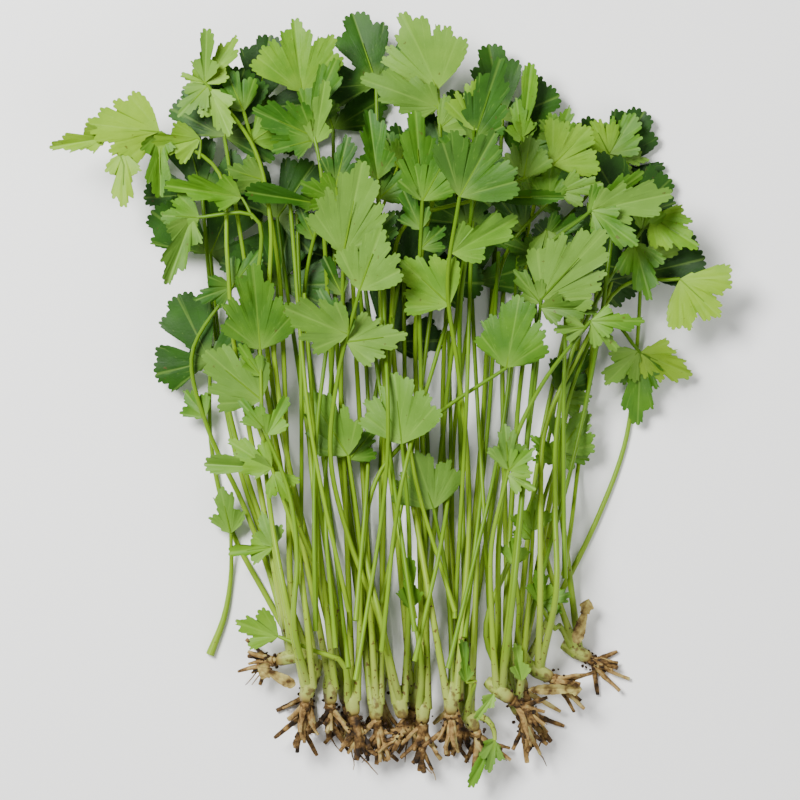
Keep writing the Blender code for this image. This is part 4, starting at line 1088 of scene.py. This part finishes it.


# Leaflets that stand out, by the place of their tip: how bright, which paints light and shade on each, and
# how much of the pale side shows
TONES = {(-157, 137): (1.0, 0.0), (-175, 126): (0.95, 0.0), (-138, 96): (0.95, 0.0),
         (-53, 190): (0.75, 0.1), (0, 193): (0.8, 0.7), (95, 136): (0.85, 0.2), (37, 157): (0.85, 0.2),
         (161, 42): (1.0, 0.0), (148, 12): (1.0, 0.0), (121, -11): (0.5, 0.0), (136, 103): (0.6, 0.7),
         (100, 83): (0.6, 0.9), (46, 130): (0.3, 0.2), (60, 91): (0.6, 0.4), (1, 69): (0.75, 0.2),
         (-19, 115): (0.6, 0.7), (-9, 84): (0.6, 0.7), (-57, 45): (0.55, 0.6), (4, 33): (0.6, 0.9),
         (-73, 66): (0.5, 0.1), (-99, 25): (0.5, 0.7), (59, 54): (0.5, 0.1), (-48, 6): (0.55, 0.5),
         (-3, 14): (0.6, 0.6), (7, -26): (0.6, 0.7), (95, -6): (0.6, 0.4), (-84, -111): (0.8, 0.2)}


HEAP_MIDDLE = 60           # how far up the layout the middle of the leaves is
HEAP_REACH = (150, 120)    # from there to the outermost leaves, across and along the bunch
SHADED_LEAF_TONES = (0.0, 0.35)    # painted shade: dark tones for the whole leaves underneath, in the shade of the upper ones
PALE_SHARE = 0.25          # of the other leaflets show their underside, this much of it
PALE_PART = 0.6


def leaf_tone(leaf, tones):
    """How bright a leaflet is, from painted shade underneath to painted light towards the outside of the
    heap, with random variation, and how much of its pale underside shows.
    """
    tip = tuple(round(b + h * leaf["length"]) for b, h in zip(leaf["base"], leaf["heading"]))
    if tip in TONES:
        return TONES[tip]
    # painted shade: the whole leaves lie underneath, so they get dark tones
    if leaf["width"] == WHOLE:
        return tones.uniform(*SHADED_LEAF_TONES), 0.0
    # painted light: brighter towards the outside of the heap, plus random variation
    outside = min(1.0, math.hypot(leaf["base"][0] / HEAP_REACH[0],
                                  (leaf["base"][1] - HEAP_MIDDLE) / HEAP_REACH[1]))
    bright = min(1.0, 0.15 + 0.5 * outside ** 2 + tones.uniform(-0.1, 0.3))
    return bright, PALE_PART * float(tones.random() < PALE_SHARE)

# %% [markdown]
# ## Crowns
#
# Where the stalks meet, their bases wrap round each other in a smooth pale swelling. It is a tube of
# changing width, like a vase on a lathe, with a faint groove for each stalk base.

# %% A crown
CROWN_SLOT = 2
CROWN_STEPS = 17           # rings of corners along a crown, and corners in a ring
CROWN_RING = 20
CROWN_SOLID = (0.62, 1.0, 0.8)   # radii of the solid's crown at its ends and middle, against the widest
CROWN_PLACES = (0, 0.12, 0.5, 0.88, 1.0)   # places along the round crown and its radii there
CROWN_WIDTHS = (0.55, 0.66, 0.8, 0.7, 0.5)


def crown_grooves(ring, turned):
    """Five shallow grooves between the stalk bases, and a little that is uneven."""
    return 1 + 0.05 * math.cos(5 * turned) - 0.02 * math.cos(3 * turned + ring * 0.4)


def add_crown(bm, laid):
    """The swelling that the stalks grow from, on the axis of its six-sided solid."""
    axis = shifted([(x, y, laid["floor"] + part * CROWN_RADIUS * math.cos(math.pi / 6))
                    for (x, y), part in zip(laid["axis"], CROWN_SOLID)])
    line = smooth_path(axis, CROWN_STEPS)
    width = np.interp(np.linspace(0, 1, CROWN_STEPS), CROWN_PLACES, np.array(CROWN_WIDTHS) * CROWN_RADIUS)
    add_tube(bm, line, width, CROWN_RING, CROWN_SLOT, (1.0, 0.0), 0.5, crown_grooves)

# %% [markdown]
# ## Roots
#
# The main root is a tapered, wrinkled tap root that was cut short. Beside it stick out stubs of side
# roots and dry bases of old leaf stalks, and crumbs of dark earth sit between them. Thousands of hairs
# would only cost time: the few stubs of each plant already cross those of its neighbours.

# %% A root with its stubs and its earth
# Count, places along the main root, lengths, spread, radii at the foot and at the tip, and tones
STUBS = (4, (0.1, 0.8), (6, 14), 0.6, (1.4, 2.2), (0.8, 1.4), (0.3, 0.7))
OLD_STALKS = (4, (0.0, 0.3), (12, 22), 0.8, (1.3, 1.8), (0.7, 1.1), (0.75, 1.0))
HAIRS = 2
CRUMBS = 16
CRUMB_SIZE = (0.4, 1.2)    # least and greatest radius
MAIN_THICKNESS = 0.95      # the fine main root against its solid
SIDE_THICKNESS = 1.5       # the same for a side root
MAIN_RING, SIDE_RING, HAIR_RING = 10, 7, 4   # corners round each
SHOOT_STEPS, SHOOT_POINTS = 4, 7   # turns that a stub or hair takes, and rings of corners along it
SHOOT_LOWEST = 1.8         # height that its middle never goes below
ROOT_SLOT, EARTH_SLOT = 0, 1


def add_roots(bm, laid, seed):
    """The main root and its rootlets, with stubs, old stalk bases, hairs and crumbs of earth."""
    local = random.Random(seed)
    for root in laid["roots"]:
        knots = np.array(shifted(root["knots"]))
        line = smooth_path(knots, max(8, math.ceil(runs(knots)[-1] / 2)))
        main = root["main"]
        radii = np.interp(runs(line), runs(knots), root["radius"])
        radii *= MAIN_THICKNESS if main else SIDE_THICKNESS
        add_root(bm, line, radii, MAIN_RING if main else SIDE_RING, 0.55, local)
        if not main:
            continue
        for count, parts, lengths, spread, feet, tips, shades in (STUBS, OLD_STALKS):
            for _ in range(count):
                shoot = drooping(line, local.uniform(*parts), lengths, spread, local)
                radii = np.linspace(local.uniform(*feet), local.uniform(*tips), len(shoot))
                add_root(bm, shoot, radii, SIDE_RING, local.uniform(*shades), local)
        for _ in range(HAIRS):
            hair = drooping(line, local.uniform(0.3, 1.0), (8, 16), 0.8, local)
            add_tube(bm, hair, np.linspace(0.55, 0.2, len(hair)), HAIR_RING, ROOT_SLOT, (0.6, 1.0), 0.6)
        for _ in range(CRUMBS):
            add_crumb(bm, line[local.randrange(max(2, len(line) // 2))], local)


def add_root(bm, line, radii, sides, tone, local):
    """A wrinkled root or stub, cut off at its end."""
    bumps = [local.uniform(0.85, 1.12) for _ in line]
    turn_by = local.uniform(0, 6)

    def wrinkles(ring, turned):
        """The uneven radius, against the given one."""
        return bumps[ring] * (1 + 0.12 * math.sin(2 * turned + turn_by + 0.5 * ring))

    add_tube(bm, line, radii, sides, ROOT_SLOT, (0.0, 1.0), tone, wrinkles)


def add_crumb(bm, near, local):
    """A crumb of dark earth beside a place on the root."""
    size = local.uniform(*CRUMB_SIZE)
    place = np.array(near) + [local.uniform(-5, 5), local.uniform(-4, 5), local.uniform(-2, 2.5)]
    place[2] = max(size + LOWEST, place[2])
    ball = bmesh.ops.create_icosphere(bm, subdivisions=1, radius=size * MM)["verts"]
    for vert in ball:
        vert.co = vert.co * local.uniform(0.75, 1.2) + Vector(place) * MM
        vert.co.z = max(LOWEST * MM, vert.co.z)
    for face in {face for vert in ball for face in vert.link_faces}:
        face.material_index = EARTH_SLOT


def drooping(line, part, lengths, spread, local):
    """A line that leaves a root at a slant and droops."""
    way = line[-1] - line[0]
    angle = math.atan2(way[1], way[0]) + local.uniform(-spread, spread)
    reach = local.uniform(*lengths)
    step = np.array((math.cos(angle), math.sin(angle), 0.0)) * reach / SHOOT_STEPS
    points = [line[int(part * (len(line) - 1))]]
    for number in range(SHOOT_STEPS):
        moved = points[-1] + step + [local.uniform(-0.8, 0.8), local.uniform(-0.8, 0.8),
                                     local.uniform(-1.5, 1.0) * (number + 1) / 2]
        points.append(np.array((moved[0], moved[1], max(SHOOT_LOWEST, moved[2]))))
    return smooth_path([tuple(p) for p in points], SHOOT_POINTS)

# %% [markdown]
# ## Materials
#
# A coriander leaf is thin living tissue with a faint wax layer, green with paler veins and a pale dull
# underside.
# Its green varies at random from leaflet to leaflet, and is darkened with painted shade on the leaves
# underneath and lightened with painted light on the outer ones. The stalks are the same tissue full of
# water, smoother and more yellow. Colours are typed as a painter's hex values and turned linear by one
# function.

# %% Colours and helpers for nodes
SPECULAR = 0.28            # skin of a plant, earth and matt paint shine less than clear plastic


def linear(hex_colour):
    """An sRGB hex colour as the linear colour that a shader takes."""
    channels = [int(hex_colour[k:k + 2], 16) / 255 for k in (1, 3, 5)]
    return (*[c / 12.92 if c <= 0.04045 else ((c + 0.055) / 1.055) ** 2.4 for c in channels], 1.0)


def add_node(tree, kind, settings=None, links=None):
    """Adds a node, sets its properties and sockets, and links its inputs to other nodes' outputs."""
    node = tree.nodes.new(kind)
    for name, value in (settings or {}).items():
        if isinstance(name, str) and hasattr(node, name):
            setattr(node, name, value)
        else:
            node.inputs[name].default_value = value
    for name, source in (links or {}).items():
        tree.links.new(source, node.inputs[name])
    return node


def new_material(name, roughness, ior):
    """A material with the shine of its surface, its node tree and its shader."""
    material = bpy.data.materials.new(name)
    material.use_nodes = True
    shader = material.node_tree.nodes["Principled BSDF"]
    for socket, value in (("Roughness", roughness), ("IOR", ior), ("Specular IOR Level", SPECULAR),
                          ("Metallic", 0.0)):
        shader.inputs[socket].default_value = value
    return material, material.node_tree, shader


def value_of(tree, name):
    """A value that the mesh carries at each vertex."""
    return add_node(tree, "ShaderNodeAttribute", {"attribute_name": name}).outputs["Fac"]


def noise(tree, per_metre, detail, roughness=0.5):
    """Soft noise with this many patches to the metre of the object."""
    place = add_node(tree, "ShaderNodeTexCoord").outputs["Object"]
    settings = {"Scale": per_metre, "Detail": detail, "Roughness": roughness}
    return add_node(tree, "ShaderNodeTexNoise", settings, {"Vector": place}).outputs["Fac"]


def varied(tree, value, change, amount, offset):
    """The value plus an amount of the change and an offset, kept from 0 to 1."""
    scaled = add_node(tree, "ShaderNodeMath", {"operation": "MULTIPLY_ADD", 1: amount, 2: offset},
                      {0: change}).outputs[0]
    return add_node(tree, "ShaderNodeMath", {"operation": "ADD", "use_clamp": True},
                    {0: value, 1: scaled}).outputs[0]


def fade(tree, value, start, end, first, last):
    """Goes from first to last while the value goes from start to end."""
    settings = {1: start, 2: end, 3: first, 4: last}
    return add_node(tree, "ShaderNodeMapRange", settings, {0: value}).outputs[0]


def ramp(tree, factor, stops):
    """A colour ramp through (place, hex colour) stops."""
    node = add_node(tree, "ShaderNodeValToRGB", links={"Fac": factor})
    stripe = node.color_ramp
    while len(stripe.elements) < len(stops):
        stripe.elements.new(0.5)
    for element, (place, colour) in zip(stripe.elements, stops):
        element.position = place
        element.color = linear(colour)
    return node.outputs["Color"]


def laid_over(tree, below, factor, above):
    """The colour below, and over it, as far as the factor says, a hex colour or another node's colour."""
    plain = isinstance(above, str)
    settings = {"data_type": "RGBA", **({7: linear(above)} if plain else {})}
    return add_node(tree, "ShaderNodeMix", settings,
                    {0: factor, 6: below, **({} if plain else {7: above})}).outputs[2]


def add_relief(tree, shader, height, strength, depth):
    """Fine bumps in the surface, this many metres deep."""
    bump = add_node(tree, "ShaderNodeBump", {"Strength": strength, "Distance": depth}, {"Height": height})
    tree.links.new(bump.outputs["Normal"], shader.inputs["Normal"])

# %% [markdown]
# The leaf's veins are fine pale lines about half a millimetre wide. Each vertex knows how far it is from
# the nearest vein in millimetres, so the line keeps its width on large and small leaves alike. Every
# noise runs on object coordinates, which are metres, so its scale is how many patches lie in a metre:
# 1000 divided by the size of a patch in millimetres.

# %% Leaf, living and thinly waxed
# The wax gives a broad soft sheen. The green runs from dark to bright with each leaflet's tone, which holds
# painted shade on the leaves underneath and painted light on the outer ones, besides random variation.
leaf_green, tree, shader = new_material("Coriander leaf, living, thinly waxed", 0.55, 1.42)
# painted light and shade: the tone darkens leaves underneath and brightens outer ones; the noise adds
# random patches
bright = varied(tree, value_of(tree, "tone"), noise(tree, 80, 3), 0.5, -0.25)   # patches of 12.5 mm
upper_side = ramp(tree, bright, [(0.0, "#173804"), (0.35, "#2c5809"), (0.7, "#507c10"), (1.0, "#779b1c")])
under_side = ramp(tree, bright, [(0.0, "#466618"), (1.0, "#6a9038")])
sided = laid_over(tree, upper_side, value_of(tree, "under"), under_side)
vein_line = fade(tree, value_of(tree, "vein"), 0.1, 0.6, 0.26, 0.0)   # fades out 0.6 mm from the vein
foot = fade(tree, value_of(tree, "reach"), 0.0, 11.0, 0.4, 0.0)   # the 11 mm next to the leaflet's stalk
paler = add_node(tree, "ShaderNodeMath", {"operation": "MAXIMUM"}, {0: vein_line, 1: foot}).outputs[0]
veined = laid_over(tree, sided, paler, "#86aa45")
spotted = fade(tree, noise(tree, 330, 2), 0.71, 0.75, 0.0, 0.65)   # few dead spots, under 3 mm across
marked = laid_over(tree, veined, spotted, "#4a3818")
tree.links.new(marked, shader.inputs["Base Color"])
add_relief(tree, shader, noise(tree, 900, 2), 0.25, 0.0004)   # grain of the small vein net, 1.1 mm

# %% Stalk, juicy and ribbed
# Full of water, so smoother than the leaf: a narrow brighter line runs along it. Yellowish at its foot,
# where it grew in the shade, with specks of splashed earth that grow rarer upwards.
stalk_green, tree, shader = new_material("Coriander stalk, juicy, finely ribbed", 0.4, 1.4)
height = varied(tree, value_of(tree, "along"), noise(tree, 60, 2), 0.3, -0.15)   # mottled over 17 mm
ripe = ramp(tree, height, [(0.0, "#92a048"), (0.15, "#88a228"), (0.5, "#769816"), (1.0, "#5a8010")])
fresh = ramp(tree, height, [(0.0, "#7e9038"), (0.15, "#6b8a1c"), (0.5, "#577c10"), (1.0, "#40640c")])
mixed = laid_over(tree, ripe, value_of(tree, "tone"), fresh)
rarer = fade(tree, value_of(tree, "along"), 0.0, 0.45, 0.62, 0.78)
soiled = add_node(tree, "ShaderNodeMath", {"operation": "GREATER_THAN"},
                  {0: noise(tree, 450, 2), 1: rarer}).outputs[0]   # specks within patches of 2.2 mm
tree.links.new(laid_over(tree, mixed, soiled, "#5a4a22"), shader.inputs["Base Color"])

# %% Crown, pale and earthy
# Grown at the soil line, so hardly green, and brown towards the root, with earth left in its creases.
crown_pale, tree, shader = new_material("Coriander crown, blanched, earth in its creases", 0.5, 1.4)
body = ramp(tree, value_of(tree, "along"), [(0.0, "#5a4420"), (0.12, "#84763c"), (0.3, "#929c4c"),
                                            (1.0, "#8fa040")])
soiled = fade(tree, noise(tree, 250, 4), 0.5, 0.62, 0.0, 0.9)   # smears of 4 mm
tree.links.new(laid_over(tree, body, soiled, "#5c4c27"), shader.inputs["Base Color"])

# %% Root, rinsed and still earthy
# Dull corky skin. Rinsing took the earth off the raised places and left it dark in the furrows.
root_brown, tree, shader = new_material("Coriander root, rinsed, still earthy", 0.75, 1.45)
earth = noise(tree, 180, 5, 0.65)                              # furrows and smears of 5.6 mm and finer
shade = varied(tree, earth, value_of(tree, "tone"), 0.45, -0.33)
colour = ramp(tree, shade, [(0.3, "#1e1408"), (0.42, "#553d1c"), (0.55, "#8c7040"), (0.75, "#a8a062")])
tree.links.new(colour, shader.inputs["Base Color"])
add_relief(tree, shader, earth, 0.6, 0.0008)

# %% Withered leaf, dry and papery
# Dried out, so it has no sheen left, and blotched from straw to brown.
withered, tree, shader = new_material("Withered coriander leaf, dry, papery", 0.8, 1.45)
colour = ramp(tree, noise(tree, 220, 4), [(0.35, "#402c12"), (0.5, "#857440"), (0.65, "#a39a58")])  # 4.5 mm
tree.links.new(colour, shader.inputs["Base Color"])

# %% Earth, damp crumbs
# Damp, so nearly black, and too rough to shine.
soil_brown, tree, shader = new_material("Garden earth, damp crumbs", 0.9, 1.45)
shader.inputs["Base Color"].default_value = linear("#2b1c0c")
print("materials:", *[material.name for material in (leaf_green, stalk_green, crown_pale, root_brown,
                                                     withered, soil_brown)], sep="\n  ")

# %% [markdown]
# ## The plants
#
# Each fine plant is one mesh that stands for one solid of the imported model: blades, stalks and crown
# together, as they grow. Its object stays at the origin, so patterns on object coordinates keep their size.

# %% Finishing a piece
SHARP = math.radians(50)   # an edge that turns more than this stays sharp


def put(name, data):
    """A new object in the scene that shows the data."""
    thing = bpy.data.objects.new(name, data)
    bpy.context.scene.collection.objects.link(thing)
    return thing


def finish_piece(name, bm, materials, node):
    """Turns the mesh into an object that rides on the bunch and stands for a solid, if it has one."""
    mesh = bpy.data.meshes.new(name)
    bm.to_mesh(mesh)
    bm.free()
    for material in materials:
        mesh.materials.append(material)
    mesh.set_sharp_from_angle(angle=SHARP)
    piece = put(name, mesh)
    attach(piece, "root")
    if node:
        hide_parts(node)
    return len(mesh.polygons)


# %% Growing the plants
faces = 0
for number, laid in enumerate(heap, 1):
    tones = random.Random(SEED + number)
    bm = new_shape()
    add_crown(bm, laid)
    for stalk in laid["stalks"]:
        add_leafy_stalk(bm, stalk, tones)
    faces += finish_piece(f"fine_plant_{number:02d}", bm, [leaf_green, stalk_green, crown_pale],
                          f"plant_{number:02d}")
    bm = new_shape()
    add_roots(bm, laid, number)
    faces += finish_piece(f"fine_root_{number:02d}", bm, [root_brown, soil_brown],
                          f"root_{number:02d}")
print("faces of the plants:", faces)

# %% Growing the loose pieces
tones = random.Random(SEED)
bm = new_shape()
add_leafy_stalk(bm, broken, tones, start=0.3)
finish_piece("fine_broken_leaf", bm, [leaf_green, stalk_green], "broken_leaf")
for number, leaf in enumerate(seed_leaves, 1):
    bm = new_shape()
    add_leaflet(bm, leaf, 0.9, 0.6, LEAF_SLOT)
    finish_piece(f"fine_seed_leaf_{number}", bm, [leaf_green], f"seed_leaf_{number}")
for number, leaf in enumerate(withered_scraps, 1):
    bm = new_shape()
    add_leaflet(bm, {**leaf, "dry": True}, 0.5, 0.0, LEAF_SLOT)
    finish_piece(f"fine_scrap_{number}", bm, [withered], f"withered_scrap_{number}")

# %% Growing the loose leaves
tones = random.Random(SEED + 2)
bm = new_shape()
for filler in fillers:
    add_leafy_stalk(bm, filler, tones, start=0.4)
faces = finish_piece("loose_leaves", bm, [leaf_green, stalk_green], None)
print("faces of the thin stalks and loose leaves:", faces)

# %% [markdown]
# ## Floor, light and camera
#
# The bunch lies on a plain pale floor under a large soft light, as in a small product studio, and is
# seen from straight above. A matt white floor throws light back up into the shadows of the heap.

# %% The floor
FLOOR_HALF = 3.0           # metres from its middle to its edge
floor_mesh = bpy.data.meshes.new("floor")
bm = bmesh.new()
bmesh.ops.create_grid(bm, x_segments=1, y_segments=1, size=FLOOR_HALF)
bm.to_mesh(floor_mesh)
bm.free()
floor_paint, tree, shader = new_material("Studio floor, matt white paint", 0.9, 1.45)
shader.inputs["Base Color"].default_value = linear("#f4f4f2")
floor_mesh.materials.append(floor_paint)
floor = put("floor", floor_mesh)
floor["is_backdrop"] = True

# %% The light
SKY = 0.35                 # light from all round, which keeps the shadows open
world = bpy.data.worlds.new("studio")
world.use_nodes = True
sky = world.node_tree.nodes["Background"]
sky.inputs["Color"].default_value = linear("#ffffff")
sky.inputs["Strength"].default_value = SKY
bpy.context.scene.world = world


def add_light(name, place, size, watts):
    """A square soft light that points at the middle of the bunch."""
    lamp = bpy.data.lights.new(name, "AREA")
    lamp.shape = "SQUARE"
    lamp.size = size
    lamp.energy = watts
    holder = put(name, lamp)
    holder.location = place
    holder.rotation_mode = "QUATERNION"
    holder.rotation_quaternion = (-Vector(place)).to_track_quat("-Z", "Y")


add_light("key_light", (-0.7, 0.6, 1.3), 0.6, 60.0)       # from the leaf end, a little to the left
add_light("fill_light", (1.0, -0.6, 1.1), 1.2, 12.0)      # weaker, from the other side

# %% The camera
CAMERA_HEIGHT = 1.6        # above the middle of the leaves
LEAF_LEVEL = 0.035
FRAME_WIDTH = 0.4          # metres that the frame shows at that level
SENSOR = 36.0              # width of a full-frame sensor, in millimetres like the lens
camera_data = bpy.data.cameras.new("camera")
camera_data.sensor_width = SENSOR
camera_data.lens = SENSOR * CAMERA_HEIGHT / FRAME_WIDTH
camera = put("camera", camera_data)
camera.location = (-MIDDLE[0] * MM, -MIDDLE[1] * MM, LEAF_LEVEL + CAMERA_HEIGHT)
bpy.context.scene.camera = camera

# %% The boxes of the solids and of the fine model
fine_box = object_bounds()
for name, box in (("solids", solid_box), ("fine", fine_box)):
    print(name, [round(1000 * value, 1) for value in (*box[0], *box[1])], "mm")
